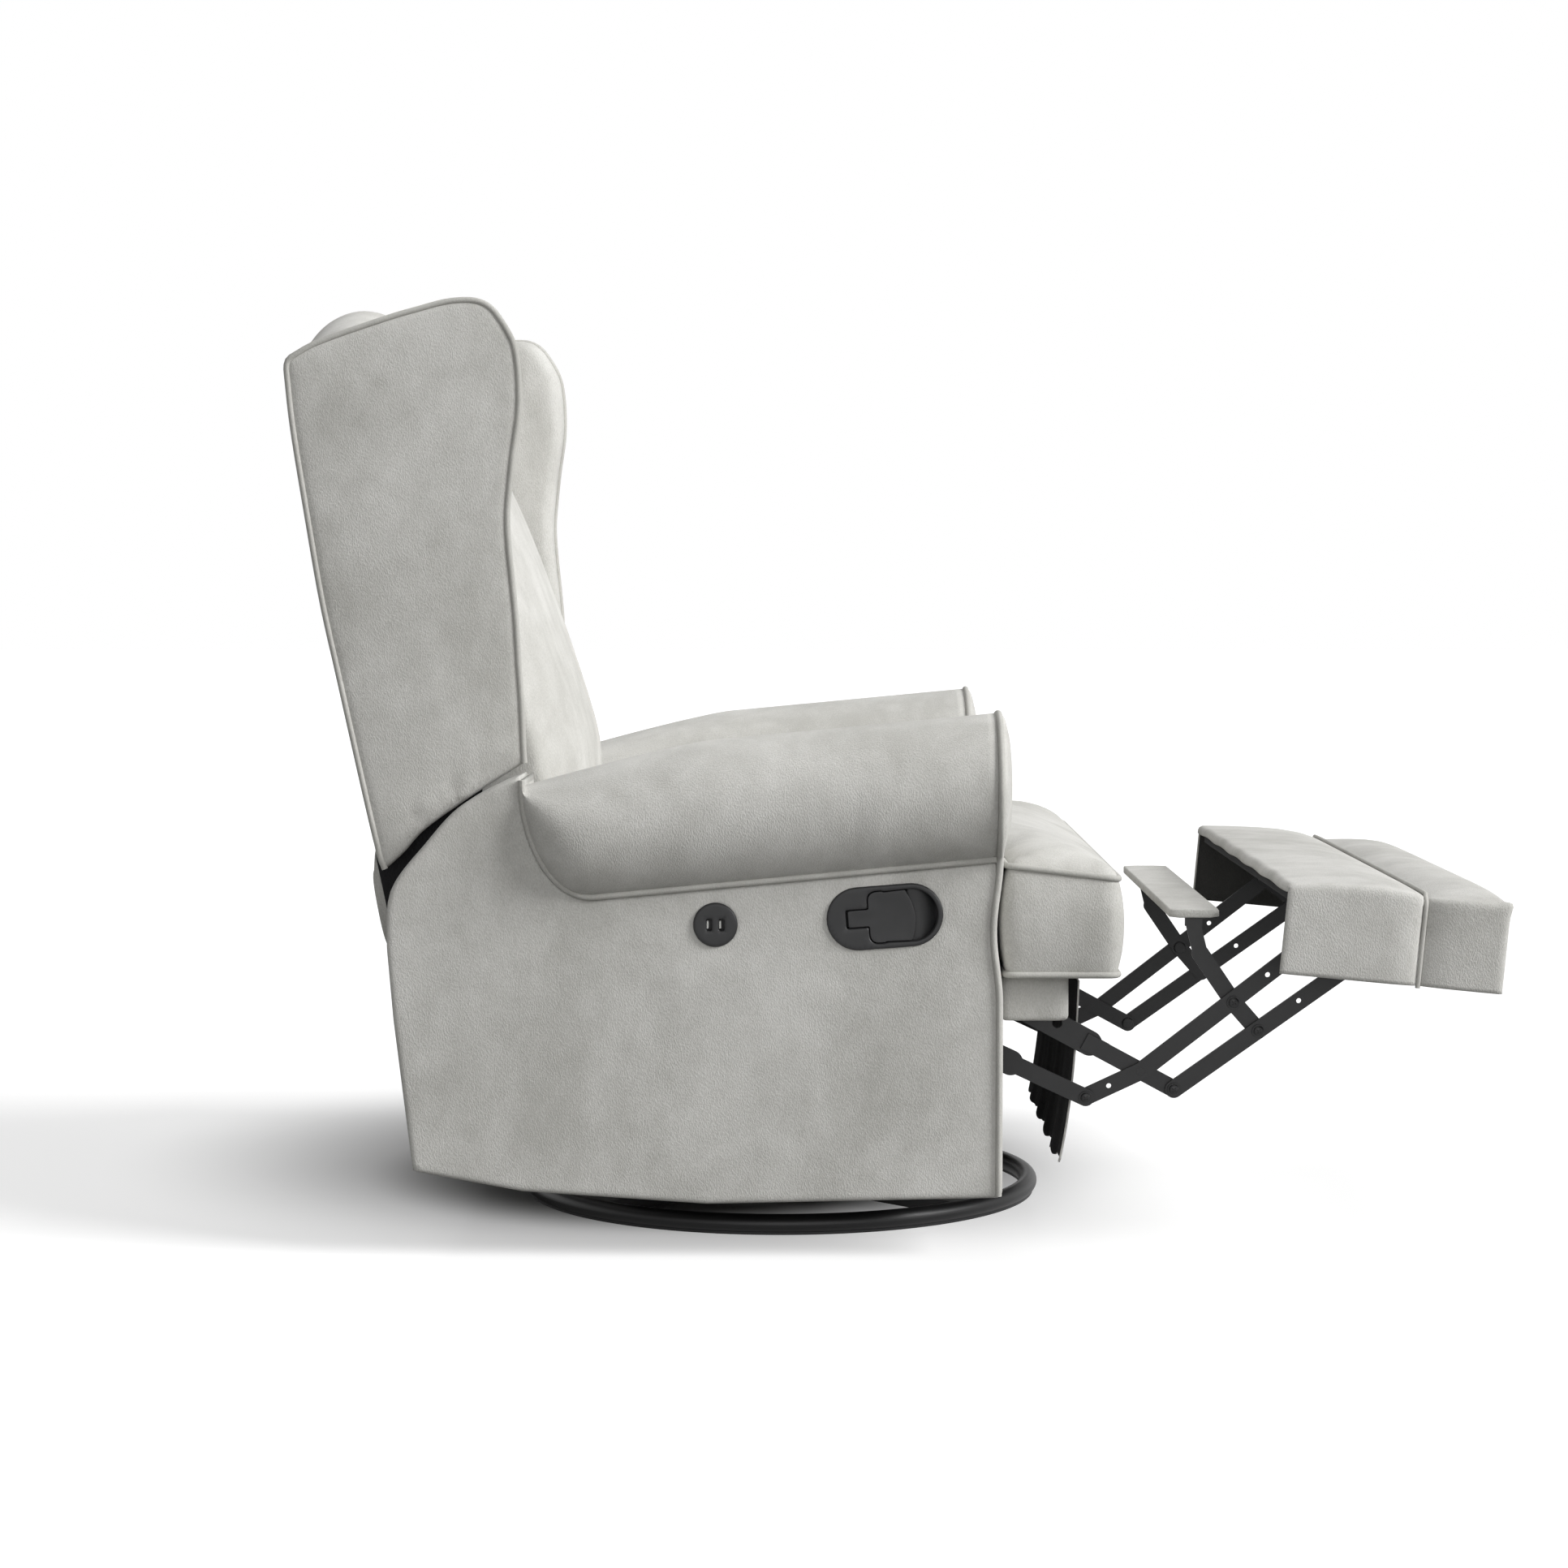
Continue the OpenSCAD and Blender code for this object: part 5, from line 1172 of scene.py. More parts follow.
def cover_points(x0, x1, rear_lip, front_drop, radius, step=0.01):
    """A rounded box open below: the top, both sides, and a lip or a face at each end."""
    points, faces = [], []
    nx, ny, nz = (int(round(d / step)) * 2 for d in (x1 - x0, 2 * FOOT_HALF, SKIRT_DROP))

    def placed(p):
        inner = np.clip(p, [x0 + radius, -FOOT_HALF + radius, -9], [x1 - radius, FOOT_HALF - radius, -radius])
        away = p - inner
        length = np.linalg.norm(away)
        q = inner + away / length * radius if length > 1e-9 else p
        lift = pad_crown(q[0], q[1], x0, x1) * np.clip(1 + q[2] / 0.03, 0, 1)
        at_side = np.clip((abs(q[1]) - FOOT_HALF + 0.03) / 0.03, 0, 1)
        y = q[1] - math.copysign(side_pinch(q[0], q[2], x0) * at_side, q[1])
        tip = TIP * np.exp(-((x1 - q[0]) / 0.008) ** 2 - ((FOOT_HALF - abs(q[1])) / 0.012) ** 2
                           - (q[2] / 0.010) ** 2) * (front_drop > 0)
        return on_footrest(q[0] + tip, y, q[2] + lift + tip)

    def grid(origin, a, b, na, nb):
        start = len(points)
        for i in range(na + 1):
            for j in range(nb + 1):
                points.append(placed(np.array(origin) + np.array(a) * i / na + np.array(b) * j / nb))
        for i in range(na):
            for j in range(nb):
                k = start + i * (nb + 1) + j
                faces.append((k, k + 1, k + nb + 2, k + nb + 1))

    grid((x0, -FOOT_HALF, 0), (x1 - x0, 0, 0), (0, 2 * FOOT_HALF, 0), nx, ny)
    for y in (-FOOT_HALF, FOOT_HALF):
        grid((x0, y, 0), (x1 - x0, 0, 0), (0, 0, -SKIRT_DROP), nx, nz)
    if rear_lip:
        grid((x0, -FOOT_HALF, 0), (0, 2 * FOOT_HALF, 0), (0, 0, -rear_lip), ny, 6)
    if front_drop:
        grid((x1, -FOOT_HALF, 0), (0, 2 * FOOT_HALF, 0), (0, 0, -front_drop), ny, nz)
    return points, faces


PAD_CLOTH_T, PAD_EDGE, REAR_LIP, PAD_GAP = 0.004, 0.006, 0.009, 0.0005


def make_pad(name, x0, x1, rear_lip, front_drop, stands_for):
    """One footrest pad, open below, with the cloth's unbrushed side inwards in a darker tone of painted shade."""
    points, faces = cover_points(x0, x1, rear_lip, front_drop, PAD_EDGE)
    pad = new_piece(name, points, faces, GREY_CLOTH)
    if Vector(pad.data.polygons[len(pad.data.polygons) // 8].normal).z < 0:
        pad.data.flip_normals()
    thickened(pad, PAD_CLOTH_T, PAINTED_SHADE_CLOTH)
    return fit(pad, "footrest", stands_for=stands_for, fill_share=0.7)


rear_pad = make_pad("footrest_rear_cover", 0.0, PAD1_LEN - PAD_GAP, REAR_LIP, 0,
                    ["footrest_pad_rear", "footrest_skirt"])
front_pad = make_pad("footrest_front_cover", PAD1_LEN + PAD_GAP, FOOT_LEN, 0, SKIRT_DROP, ["footrest_pad_front"])
SEAM_Y = FOOT_HALF - 0.0095
side_down = [(-SEAM_Y, -z) for z in np.linspace(SKIRT_DROP + 0.0025, 0.010, 16)]
corner = [(-SEAM_Y + 0.009 * (1 - math.cos(a)), -0.010 + 0.0105 * math.sin(a)) for a in np.linspace(0.15, 1.5, 7)]
over_top = [(y, pad_crown(PAD1_LEN - 0.002, y, 0, PAD1_LEN) + 0.0005)
            for y in np.linspace(-SEAM_Y + 0.012, SEAM_Y - 0.012, 90)]
welt_path = side_down + corner + over_top + [(-y, z) for y, z in reversed(side_down + corner)]
cord("footrest_welt", [on_footrest(PAD1_LEN + 0.0008, y, z) for y, z in welt_path], "footrest", radius=2.8 * MM)
print(rear_pad.name, len(rear_pad.data.polygons), front_pad.name, len(front_pad.data.polygons), "faces")

# %% [markdown]
# ## Screw heads on the links
# The links turn on shouldered screws with domed heads and a cross recess. One head could be modelled and copied by
# hand, but they repeat, so Geometry Nodes place one on each point of a cloud. The head is a flattened sphere, and two
# thin bars on it, nearly black as painted shade, draw the cross, because at this size a cut recess wouldn't show.

# %% Screw head tree
BAR_LENGTH, BAR_WIDTH, BAR_HEIGHT = 0.95, 0.2, 1.96
CROSS_TURN = math.radians(35)


def head_tree():
    """A tree that sets a screw head on each point of a cloud."""
    tree = bpy.data.node_groups.new("screw_heads", "GeometryNodeTree")
    for name, kind in (("Places", "NodeSocketGeometry"), ("Radius", "NodeSocketFloat"), ("Rise", "NodeSocketFloat"),
                       ("Finish", "NodeSocketMaterial"), ("Recess", "NodeSocketMaterial")):
        tree.interface.new_socket(name, in_out="INPUT", socket_type=kind)
    tree.interface.new_socket("Heads", in_out="OUTPUT", socket_type="NodeSocketGeometry")
    given = add(tree, "NodeGroupInput").outputs
    ball = add(tree, "GeometryNodeMeshUVSphere", {"Segments": 24, "Rings": 12, "Radius": 1.0})
    flat = add(tree, "ShaderNodeCombineXYZ", {0: given["Radius"], 1: given["Rise"], 2: given["Radius"]})
    dome = add(tree, "GeometryNodeTransform", {"Geometry": ball.outputs["Mesh"], "Scale": flat.outputs[0]})
    dome = add(tree, "GeometryNodeSetMaterial", {"Geometry": dome.outputs[0], "Material": given["Finish"]})
    bar_len, bar_wide, bar_high = (add(tree, "ShaderNodeMath", {0: given[name], 1: share}, operation="MULTIPLY")
                                   for name, share in (("Radius", BAR_LENGTH), ("Radius", BAR_WIDTH),
                                                       ("Rise", BAR_HEIGHT)))
    bars = []
    for lengths in ((bar_len, bar_high, bar_wide), (bar_wide, bar_high, bar_len)):
        size = add(tree, "ShaderNodeCombineXYZ", {k: v.outputs[0] for k, v in enumerate(lengths)})
        bar = add(tree, "GeometryNodeMeshCube", {"Size": size.outputs[0]})
        bars.append(add(tree, "GeometryNodeTransform", {"Geometry": bar.outputs["Mesh"],
                                                        "Rotation": (0, CROSS_TURN, 0)}))
    crossed = add(tree, "GeometryNodeJoinGeometry")
    for bar in bars:
        tree.links.new(bar.outputs[0], crossed.inputs[0])
    crossed = add(tree, "GeometryNodeSetMaterial", {"Geometry": crossed.outputs[0], "Material": given["Recess"]})
    head = add(tree, "GeometryNodeJoinGeometry")
    tree.links.new(dome.outputs[0], head.inputs[0])
    tree.links.new(crossed.outputs[0], head.inputs[0])
    placed = add(tree, "GeometryNodeInstanceOnPoints", {"Points": given["Places"], "Instance": head.outputs[0]})
    real = add(tree, "GeometryNodeRealizeInstances", {"Geometry": placed.outputs[0]})
    smooth = add(tree, "GeometryNodeSetShadeSmooth", {"Geometry": real.outputs[0]})
    add(tree, "NodeGroupOutput", {"Heads": smooth.outputs[0]})
    return tree


HEADS = head_tree()
# Painted shade inside the cross recess: matt and nearly black, as no light reaches its floor.
RECESS_SHADE = coated("screw_recess_painted_shade", "#050505", "#0A0A0A", 1.0, 0.02, Roughness=0.8)
print("screw head tree:", len(HEADS.nodes), "nodes")

# %% Screw heads
LINK_BODIES = ["long_swing_links", "short_swing_links", "bent_lift_links", "straight_lift_links", "flap", "footrest"]
SCREW_PLACES = [(0.354, 0.157), (0.456, 0.166), (0.524, 0.267), (0.553, 0.234)]
steel_trees = {}
for body in LINK_BODIES:
    points, faces = [], []
    for name in frame["record"]["behaviour"]["bodies"][body]:
        if frame["nodes"][name].data.materials[0] == BLACK_STEEL:
            mesh = frame["nodes"][name].data
            faces += [[len(points) + i for i in p.vertices] for p in mesh.polygons]
            points += [v.co.copy() for v in mesh.vertices]
    steel_trees[body] = BVHTree.FromPolygons(points, faces)


def outermost(x, z, side):
    """The body whose steel is outermost on a line across the chair, and the Y of its surface."""
    found = []
    for body, tree in steel_trees.items():
        hit = tree.ray_cast(Vector((x, side * 2, z)), Vector((0, -side, 0)))[0]
        if hit is not None:
            found.append((abs(hit.y), body))
    far, body = max(found)
    return body, side * far


def screw_heads(body, spots, radius=6.2 * MM, rise=2.4 * MM):
    """All the heads that one body carries, as a plain mesh."""
    cloud = bpy.data.meshes.new(body + "_places")
    cloud.from_pydata(spots, [], [])
    made = grown(body + "_screw_heads", cloud, HEADS, Radius=radius, Rise=rise, Finish=BLACK_STEEL, Recess=RECESS_SHADE)
    return fit(made, body, "black_steel")


carried = {}
for x, z in SCREW_PLACES:
    for side in (1, -1):
        body, y = outermost(x, z, side)
        carried.setdefault(body, []).append((x, y, z))
for body, spots in carried.items():
    heads = screw_heads(body, spots)
    print(heads.name, "at", [tuple(round(float(c), 4) for c in s) for s in spots])

# %% [markdown]
# ## Rivet heads
# On the inside of the links two pivots end in broad flat heads, and the far side's are seen through the linkage. Their
# depth could be copied from the CAD source, but a ray from the middle of the chair finds the steel that they sit on,
# and stays right if the links move.

# %% Rivet heads
RIVETS = [(0.456, 0.166), (0.524, 0.267)]
RIVET_R, RIVET_SUNK, RIVET_PROUD = 0.0078, 0.0005, 0.0022


def innermost(x, z, side):
    """The body whose steel is met first from the middle of the chair outwards, and the Y of its surface."""
    found = []
    for body, tree in steel_trees.items():
        hit = tree.ray_cast(Vector((x, 0, z)), Vector((0, side, 0)))[0]
        if hit is not None:
            found.append((abs(hit.y), body))
    return min(found)


for number, (x, z) in enumerate(RIVETS):
    for side, word in SIDES:
        y, body = innermost(x, z, side)
        points, faces = board(circle((x, z), RIVET_R), upright(side), y + RIVET_SUNK, y - RIVET_PROUD,
                              0.0001, 0.0012, rows=(0.0004, 0.0012), spacing=0.004)
        rivet = fit(new_piece(f"rivet_{number}_{word}", points, faces, BLACK_STEEL), body, "black_steel")
        print(rivet.name, "on", body)

# %% [markdown]
# ## Footrest underside
# Under the pads lies the plywood that carries them, wrapped in black lining. The lining could be a separate sheet under
# the board, but it is glued down everywhere, so one board with a cloth finish stands for both.

# %% Footrest underside
BOARD_HALF, BOARD_REAR, BOARD_FRONT = 0.409, 0.007, FOOT_LEN - 0.012
BOARD_TOP, BOARD_LOW = -0.0082, -0.0185
lining_outline = evenly(rounded(rectangle(BOARD_REAR, -BOARD_HALF, BOARD_FRONT, BOARD_HALF), 0.006, 4), 0.012)
points, faces = board(lining_outline, on_footrest, BOARD_TOP, BOARD_LOW, 0.001, 0.003,
                      rows=(0.0006, 0.002, 0.004), spacing=0.02)
under = fit(new_piece("footrest_board_lining", points, faces, BLACK_CLOTH), "footrest", "black_cloth",
            stands_for=["footrest_board"])
print(under.name, "half width", round(BOARD_HALF, 3))

# %% [markdown]
# ## Flap pad
# A narrow wrapped board lies between the seat and the footrest. A scaled cube with a bevel could stand for it, but the
# board helper turns the cloth over the edge in the same way as on the larger pieces, so their light matches.

# %% Flap pad
FLAP_EDGE, FLAP_SWELL, FLAP_REACH = 0.0018, 0.0004, 0.03
low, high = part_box("flap_pad")
flap_outline = evenly(rounded(rectangle(low[0], low[1], high[0], high[1]), FLAP_EDGE, 5),
                      min(0.012, (high[1] - low[1]) / 4))
points, faces = board(flap_outline, lambda u, v, w: (u, v, w), high[2], low[2], FLAP_EDGE, FLAP_EDGE, FLAP_SWELL,
                      FLAP_SWELL * 0.5, FLAP_REACH, rows=[FLAP_EDGE * k for k in (0.15, 0.4, 0.75, 1.3)])
flap = fit(new_piece("flap_cover", points, faces, GREY_CLOTH), "flap", stands_for=["flap_pad"])
print(flap.name, len(flap.data.polygons), "faces")

# %% [markdown]
# ## Inner faces and rear caps of the arms
# A thin padded board lines each arm's inside, and a strip of the cover wraps its rear edge. Both could be part of one
# large cover, but the real ones are nailed on one by one, so each is a board that fills its CAD node's box.

# %% Inner arm pads
def make_inner_pad(side, word):
    """The padded inner face of one arm, cut to the roll's slope."""
    node = "arm_inner_pad_" + word
    low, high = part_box(node)
    ys = sorted([abs(low[1]), abs(high[1])])
    corners = [(low[0], RAIL_TOP_Z), (high[0], RAIL_TOP_Z), (high[0], roll_low(high[0]) - 0.001),
               (low[0], roll_low(low[0]) - 0.001)]
    outline = evenly(rounded(corners, 0.004, 4), 0.01)
    points, faces = board(outline, upright(side), ys[1], ys[0], 0.001, 0.003, 0, 0.001)
    return fit(new_piece("inner_arm_cover_" + word, points, faces, GREY_CLOTH), "chair", stands_for=[node])


for side, word in SIDES:
    print(make_inner_pad(side, word).name)


# %% Arm caps
CAP_T = 0.005


def make_cap(side, word):
    """The strip that wraps the rear edge of the arm: the panel's rear edge drawn across the arm."""
    rear = np.array(list(panel_rear) + [on_panel(s) for s in PANEL_REAR_SHARES[6:]])
    rear = evenly(rear, 0.008, closed=False)
    along = np.gradient(rear, axis=0)
    along /= np.linalg.norm(along, axis=1)[:, None]
    across = np.stack([-along[:, 1], along[:, 0]], axis=1) * CAP_T
    inner = rear + across
    if inner[len(inner) // 2][0] < rear[len(rear) // 2][0]:
        inner = rear - across
    outline = evenly(list(rear) + list(inner[::-1]), 0.004)
    low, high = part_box("arm_cap_" + word)
    ys = sorted([abs(low[1]), abs(high[1])])
    points, faces = board(outline, upright(side), ys[1], ys[0], 0.0015, 0.0015, spacing=0.01, rows=(0.001, 0.002))
    cap = new_piece("arm_cap_cover_" + word, points, faces, GREY_CLOTH)
    return fit(cap, "chair", stands_for=["arm_cap_" + word])


for side, word in SIDES:
    print(make_cap(side, word).name)

# %% [markdown]
# ## Rear panel and front rail
# Below the back a padded panel joins the arms, and under the cushion's nose a padded rail does. The rail's cover is cut
# out at both ends for the arm fronts. Two boxes and a boolean could make that, but an outline with the steps in it
# keeps the padding's round edge in the corners too.

# %% Rear panel and front rail
PANEL_T, RAIL_STEP, RAIL_REAR_X, RAIL_LOWER, RAIL_PROUD = 0.008, 0.017, 0.3033, 0.006, 0.003
low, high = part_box("rear_panel")
lean = (high[0] - low[0] - PANEL_T) / (high[2] - low[2])


def on_rear_panel(u, v, w):
    """A place on the rear panel, which leans as its CAD box does."""
    return (low[0] + PANEL_T + w + (high[2] - v) * lean, u, v)


points, faces = board(evenly(rounded(rectangle(low[1], low[2], high[1], high[2]), 0.004, 4), 0.012), on_rear_panel,
                      0.0, -PANEL_T, 0.002, 0.003, 0, 0.002)
rear_cover = fit(new_piece("rear_panel_cover", points, faces, GREY_CLOTH), "chair", stands_for=["rear_panel"])
(x0, y0, z0), (x1, y1, z1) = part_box("front_rail")
z0, x1 = z0 - RAIL_LOWER, x1 + RAIL_PROUD
corners = [(x0, y1), (x0, y1 - RAIL_STEP), (RAIL_REAR_X, y1 - RAIL_STEP), (RAIL_REAR_X, y0 + RAIL_STEP),
           (x0, y0 + RAIL_STEP), (x0, y0), (x1, y0), (x1, y1)]
points, faces = board(evenly(rounded(corners, [0.001] * 6 + [0.008] * 2, 4), 0.007), lambda u, v, w: (u, v, w), z1, z0,
                      0.003, 0.006, spacing=0.01, rows=(0.001, 0.0025, 0.0045))
rail_cover = fit(new_piece("front_rail_cover", points, faces, GREY_CLOTH), "chair", stands_for=["front_rail"])
print(rear_cover.name, rail_cover.name)

# %% [markdown]
# ## Front curtain
# A strip of the cover, lined in black, hangs from the front rail to hide the mechanism. Its folds deepen towards the
# hem, which isn't sewn straight. Cloth simulation could hang it, but the real one is held by the footrest's links, so
# its few shallow folds are drawn as waves that grow downwards.

# %% Front curtain
CURTAIN_HALF, CURTAIN_TOP, CURTAIN_LOW, CURTAIN_X = 0.270, 0.2893, 0.075, 0.3455
FOLDS, FOLD_DEPTH, CURTAIN_PROUD, CURTAIN_T = 4.5, 0.0032, 0.0028, 0.0022
RIPPLES, RIPPLE_DEPTH = 13, 0.0009
COLUMNS, ROWS = 150, 40


def curtain_place(s, u):
    """A point of the curtain: s runs up it and u across it, both from 0 to 1."""
    down = 1 - s
    x = (CURTAIN_X - 0.0115 * down - 0.0105 * down ** 3
         + FOLD_DEPTH * down * math.sin(2 * math.pi * FOLDS * u + math.radians(60 * s)))
    ripple = RIPPLE_DEPTH * down * math.sin(2 * math.pi * RIPPLES * u + 2 * s)
    low = CURTAIN_LOW + 0.006 * math.sin(2 * math.pi * FOLDS * u) ** 2 + 0.004 * math.sin(41 * u + 1) ** 2
    return (x + CURTAIN_PROUD + ripple, CURTAIN_HALF * (2 * u - 1), low + (CURTAIN_TOP - low) * s)


points = [curtain_place(i / ROWS, j / COLUMNS) for i in range(ROWS + 1) for j in range(COLUMNS + 1)]
corner_at = [i * (COLUMNS + 1) + j for i in range(ROWS) for j in range(COLUMNS)]
faces = [(k, k + 1, k + COLUMNS + 2, k + COLUMNS + 1) for k in corner_at]
curtain = new_piece("curtain_cloth", points, faces, GREY_CLOTH)
if curtain.data.polygons[0].normal.x < 0:
    curtain.data.flip_normals()
thickened(curtain, CURTAIN_T, BLACK_CLOTH)
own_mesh(curtain)
fit(curtain, "chair", stands_for=["front_curtain"])
print(curtain.name, len(curtain.data.polygons), "faces")

# %% [markdown]
# ## Handle
# A moulded cup is let into the panel. A T-shaped paddle lies flush in it, and beside the paddle is the hollow where
# the fingers reach behind its edge. Booleans could cut the cup, but they leave sharp edges. A rim with a hole and a
# floor behind it do the same as two boards, and every edge keeps a small radius, which draws a thin line of light.

# %% Handle cup and paddle
TAB_X0, BODY_X0, TAB_HALF, BODY_HALF = -0.0408, -0.0177, 0.0094, 0.0283
RIM_W, PADDLE_GAP = 0.0068, 0.0007
HOLLOW_R = CUP_H / 2 - RIM_W
RIM_OUT, RIM_IN, FLOOR_OUT, FLOOR_IN = 0.4512, 0.4310, 0.4308, 0.4200
PADDLE_OUT, PADDLE_IN, PADDLE_DISH = 0.4502, 0.4440, 0.0010
PADDLE_FRONT = [(0.0240, BODY_HALF), (0.0300, 0.0150), (0.0335, 0.0), (0.0325, -0.0150), (0.0285, -BODY_HALF)]


def tab_side(grow):
    """The paddle's outline on the tab's side, grown for its hole, with room for the tab to turn at its hinged end."""
    x0, x1, h, b = TAB_X0 - 3 * grow, BODY_X0 - grow, TAB_HALF + grow, BODY_HALF + grow
    corners = [(0.0, b), (x1, b), (x1, h), (x0, h), (x0, -h), (x1, -h), (x1, -b), (0.0, -b)]
    return rounded(corners, [0.001, 0.0105, 0.001, 0.0015, 0.0015, 0.001, 0.0105, 0.001], 7)


def paddle_outline():
    """The paddle: a tab on a body with a bowed front edge."""
    front = curved(list(reversed(PADDLE_FRONT)), 5)
    return evenly(list(tab_side(0)) + list(front), 0.0018)


def cup_hole():
    """The cup's opening: the paddle's outline and the finger hollow in front of it."""
    reach = (CUP_LEN - CUP_H) / 2
    return evenly(list(tab_side(PADDLE_GAP)) + list(arc((reach, 0), HOLLOW_R + PADDLE_GAP, -90, 90, 26)), 0.0022)


def moulded(name, outline, near, far, near_r, far_r, body, nodes, holes=(), near_shape=None, spacing=0.004):
    """A moulded piece on the sitter's right side, its rows of triangles packed into the edge's radius."""
    points, faces = board(outline, upright(-1), near, far, near_r, far_r, holes=holes, spacing=spacing,
                          rows=[near_r * k for k in (0.12, 0.35, 0.65, 1.05)], near_shape=near_shape)
    return fit(new_piece(name, points, faces, DARK_PLASTIC), body, "dark_plastic", stands_for=nodes)


def scoop(flat, gap):
    """The hollow's floor: deep under the paddle, shallow at its front edge, and falling again to the rim."""
    c, s = math.cos(CUP_TILT), math.sin(CUP_TILT)
    along = (flat[:, 0] - CUP_X) * c + (flat[:, 1] - CUP_Z) * s
    return 0.0125 * np.clip((along - 0.020) / 0.005, 0, 1) - 0.0075 * np.clip((along - 0.036) / 0.020, 0, 1) ** 1.5


def dished(flat, gap):
    """The paddle's face, a little hollow for the fingers."""
    return -PADDLE_DISH * (1 - np.exp(-gap / 0.012))


bezel = moulded("handle_bezel", on_cup(evenly(stadium(), 0.003)), RIM_OUT, RIM_IN, 0.0024, 0.0005, "chair",
                ["handle_cup"], holes=[on_cup(cup_hole())])
floor_plate = moulded("handle_cup_floor", on_cup(evenly(stadium(0.005), 0.004)), FLOOR_OUT, FLOOR_IN, 0.001, 0.001,
                      "chair", [], near_shape=scoop, spacing=0.003)
paddle = moulded("handle_paddle_cover", on_cup(paddle_outline()), PADDLE_OUT, PADDLE_IN, 0.0009, 0.0006, "handle",
                 ["handle_paddle"], near_shape=dished)
print(bezel.name, floor_plate.name, paddle.name)

# %% [markdown]
# ## Charging sockets
# A round moulded plate with two upright slots, each with a white contact tongue inside. The slots could be dark marks
# in the material, but their depth shows from the side. So they are holes in the plate, with a dark floor behind them.

# %% Charging sockets
SLOT_GAP, SLOT_W, SLOT_H = 0.0138, 0.0052, 0.0124
PLATE_OUT, PLATE_IN, WELL_OUT, WELL_IN, WELL_R = 0.4520, 0.4410, 0.4400, 0.4300, 0.019


def slot_outline(sign):
    """One slot: an upright rectangle to the left or right of the plate's middle."""
    x, z = SOCKET_X + sign * SLOT_GAP / 2, SOCKET_Z
    corners = rectangle(x - SLOT_W / 2, z - SLOT_H / 2, x + SLOT_W / 2, z + SLOT_H / 2)
    return evenly(rounded(corners, 0.0008, 4), 0.0012)


plate = moulded("socket_plate", circle((SOCKET_X, SOCKET_Z), SOCKET_D / 2, 72), PLATE_OUT, PLATE_IN, 0.0026, 0.0005,
                "chair", ["socket_body"], holes=[slot_outline(-1), slot_outline(1)], spacing=0.003)
well = moulded("socket_well", circle((SOCKET_X, SOCKET_Z), WELL_R, 40), WELL_OUT, WELL_IN, 0.001, 0.001, "chair", [])
print(plate.name, well.name)

# %% [markdown]
# ## Floor
# The studio's floor is white paper that is lit from all round. Stronger lamps could turn a plane white, but they would
# wash out the chair. Light Path lets the floor show white to the camera and give other rays less, so that undersides
# stay dark. To the camera the chair's shadow is also painted on it: a darker colour in a round core under the chair,
# and a painted glow that rises away from it.

# %% Floor
FLOOR_HALF = 30
# Where the floor's painted glow and its painted shadow core lie, around the chair.
PAINTED_GLOW_CENTRE, PAINTED_GLOW_FROM, PAINTED_GLOW_TO = (-0.19, 0.26, 0.0), 0.22, 0.71
PAINTED_SHADOW_CENTRE, PAINTED_SHADOW_FROM, PAINTED_SHADOW_TO = (-0.12, 0.10, 0.0), 0.25, 0.42


def seen_directly(tree):
    """1 for the camera's rays and for those through gloss or glass, which show the backdrop too; else 0."""
    rays = add(tree, "ShaderNodeLightPath").outputs
    seen = add(tree, "ShaderNodeMath", {0: rays["Is Camera Ray"], 1: rays["Is Glossy Ray"]}, operation="MAXIMUM")
    return add(tree, "ShaderNodeMath", {0: seen.outputs[0], 1: rays["Is Transmission Ray"]},
               operation="MAXIMUM").outputs[0]


def ring_share(tree, place, centre, start, end, most=1.0):
    """0 within start of a centre, rising to most at end."""
    away = add(tree, "ShaderNodeVectorMath", {0: place, 1: centre}, operation="DISTANCE")
    return add(tree, "ShaderNodeMapRange", {"Value": away.outputs["Value"], "From Min": start, "From Max": end,
                                            "To Min": 0.0, "To Max": most}, interpolation_type="SMOOTHSTEP").outputs[0]


def paper(tree, place):
    """Photographer's white paper, matt, with the lamps' shadow and, to the camera, a painted shadow: a darker round
    core under the chair and a painted glow rising away from it.
    """
    seen = seen_directly(tree)
    # Painted light and shadow for the camera: a glow that rises away from the chair, and a darker colour in a round
    # core.
    painted_glow_share = ring_share(tree, place, PAINTED_GLOW_CENTRE, PAINTED_GLOW_FROM, PAINTED_GLOW_TO, 0.5)
    painted_shadow_share = ring_share(tree, place, PAINTED_SHADOW_CENTRE, PAINTED_SHADOW_FROM, PAINTED_SHADOW_TO)
    painted_shadow_tone = add(tree, "ShaderNodeMix", {"Factor": painted_shadow_share, 6: colour("#8C8C8C"), 7: colour("#D4D4D4")}, data_type="RGBA")
    tone = add(tree, "ShaderNodeMix", {"Factor": seen, 6: colour("#666664"), 7: painted_shadow_tone.outputs[2]}, data_type="RGBA")
    painted_glow = add(tree, "ShaderNodeMath", {0: painted_glow_share, 1: painted_shadow_share}, operation="MULTIPLY")
    painted_glow = add(tree, "ShaderNodeMath", {0: painted_glow.outputs[0], 1: seen}, operation="MULTIPLY")
    return {"Base Color": tone.outputs[2], "Emission Strength": painted_glow.outputs[0]}


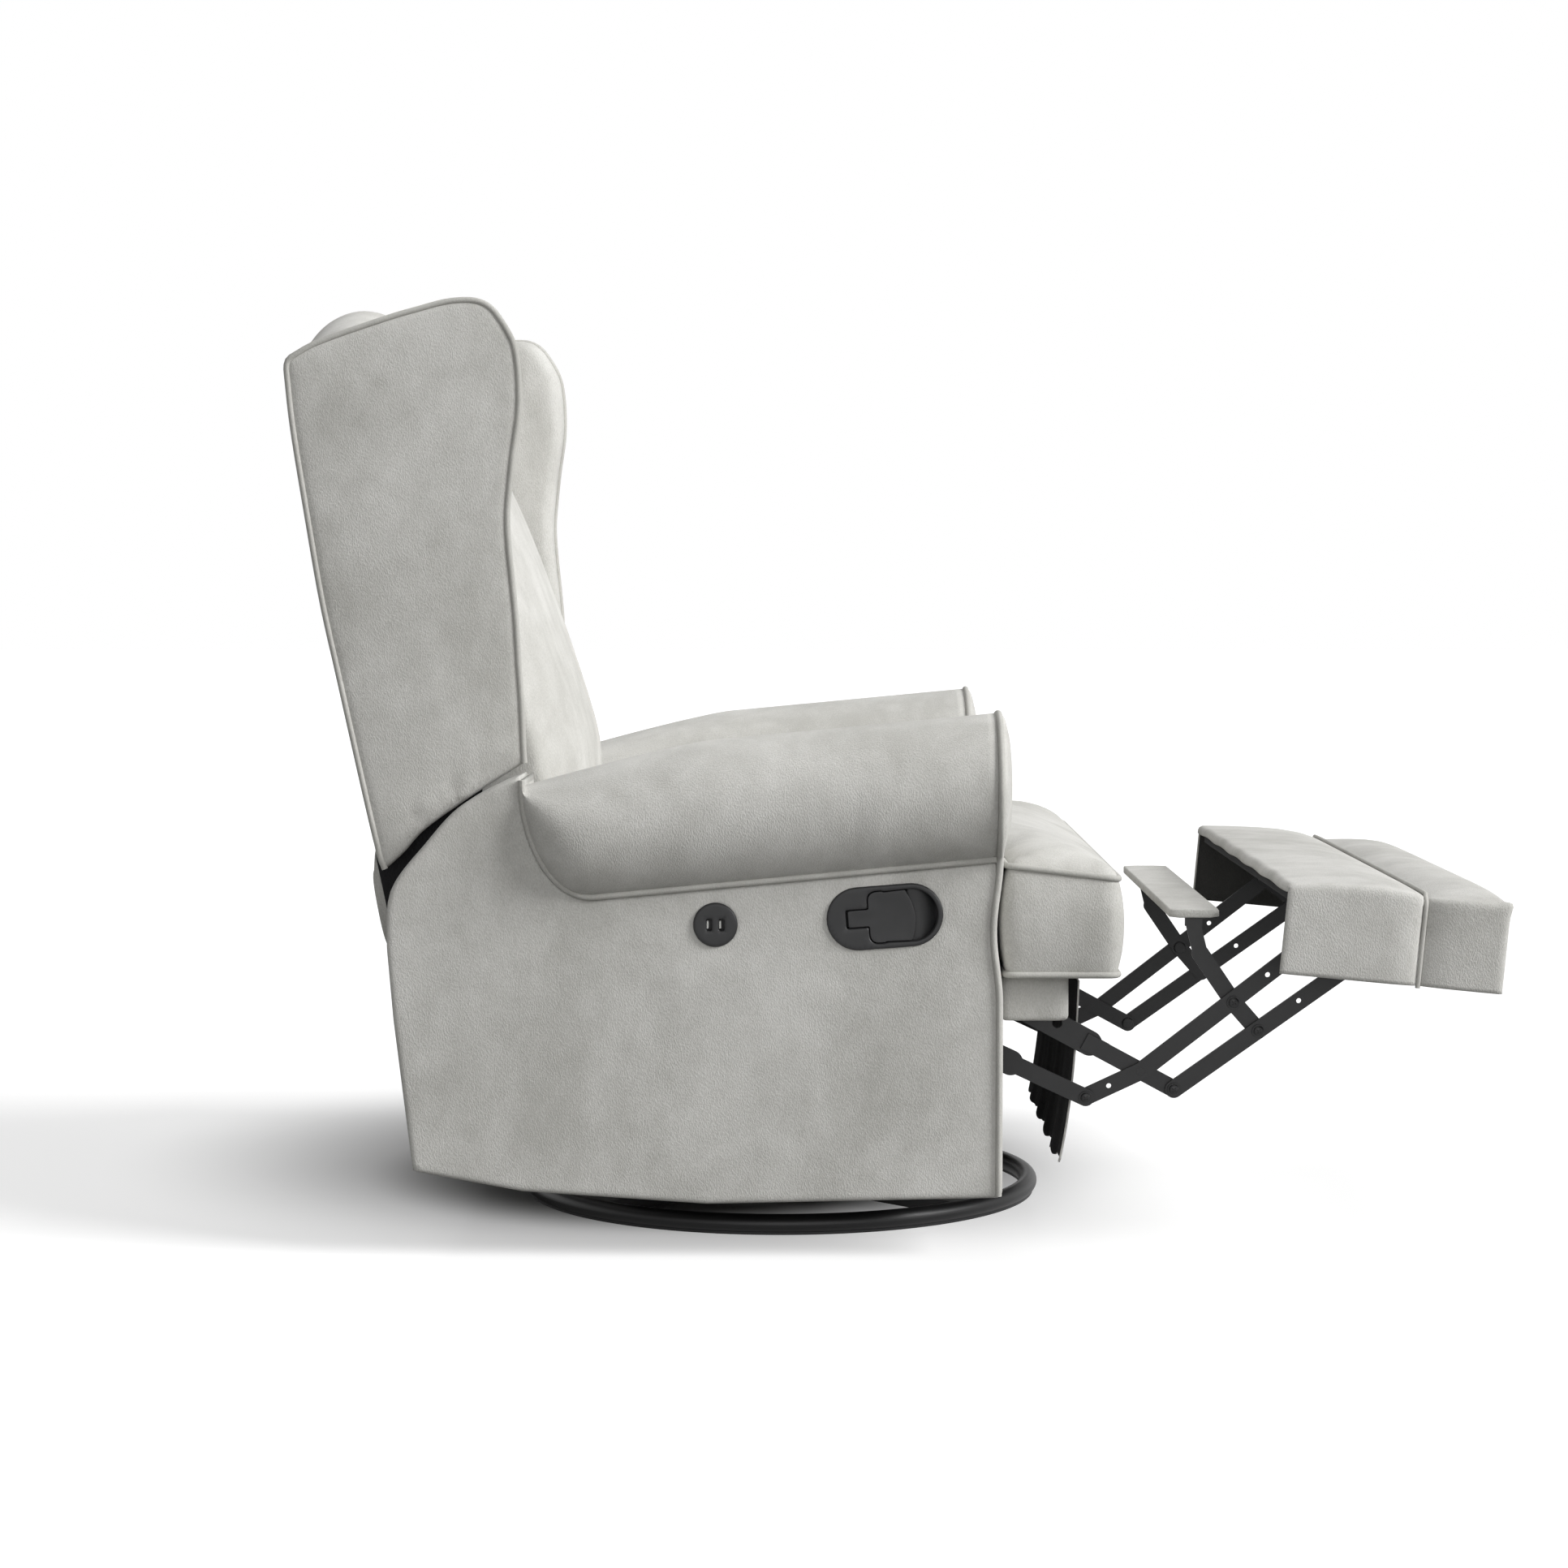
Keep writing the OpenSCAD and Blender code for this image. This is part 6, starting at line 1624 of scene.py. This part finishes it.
floor_mesh = bpy.data.meshes.new("floor")
floor_mesh.from_pydata([(x, y, 0) for x, y in rectangle(-FLOOR_HALF, -FLOOR_HALF, FLOOR_HALF, FLOOR_HALF)], [],
                       [(0, 1, 2, 3)])
floor_mesh.materials.append(material("pale_floor", paper, **{
    "Roughness": 0.9, "Specular IOR Level": 0.0, "Emission Color": (1, 1, 1, 1)}))
floor = bpy.data.objects.new("floor", floor_mesh)
bpy.context.scene.collection.objects.link(floor)
print("floor:", 2 * FLOOR_HALF, "m across")

# %% [markdown]
# ## Lamps
# One large lamp high on the sitter's front side models the chair and throws the soft shadow behind it. A broad soft
# lamp from the camera's side lifts the side of the chair, and a third from above its far side lights the tops. Area
# lamps would fall off across a chair of this size. Sun lamps don't, and their angle gives the softness of a large box.

# %% Lamps
LAMPS = {"key": (-18, 29, 28, 3.4), "fill": (-85, 8, 50, 1.12), "top": (90, 62, 40, 0.65)}


def sun(name, azimuth, height, size, energy):
    """A sun lamp that stands for a softbox of a given size, in degrees, seen from the chair."""
    data = bpy.data.lights.new(name, "SUN")
    data.energy = energy
    data.angle = math.radians(size)
    lamp = bpy.data.objects.new(name, data)
    a, h = math.radians(azimuth), math.radians(height)
    lamp.rotation_euler = Vector((math.cos(a) * math.cos(h), math.sin(a) * math.cos(h),
                                  math.sin(h))).to_track_quat("Z", "Y").to_euler()
    bpy.context.scene.collection.objects.link(lamp)
    return lamp


print("lamps:", [sun(name, *numbers).name for name, numbers in LAMPS.items()])

# %% [markdown]
# ## Backdrop
# The backdrop is plain white. A wall of geometry would throw its own shade, so the world itself is white where it is
# seen, and only a quarter as strong where it lights the chair.

# %% World
AROUND = 0.24
world = bpy.data.worlds.new("studio")
bpy.context.scene.world = world
world.use_nodes = True
tree = world.node_tree
tree.nodes.clear()
level = add(tree, "ShaderNodeMapRange", {"Value": seen_directly(tree), "To Min": AROUND, "To Max": 1.0})
backdrop = add(tree, "ShaderNodeBackground", {"Color": (1, 1, 1, 1), "Strength": level.outputs[0]})
add(tree, "ShaderNodeOutputWorld", {"Surface": backdrop.outputs[0]})
bpy.context.scene.view_settings.view_transform = "Standard"
print("world:", AROUND, "around the chair, 1 behind it")
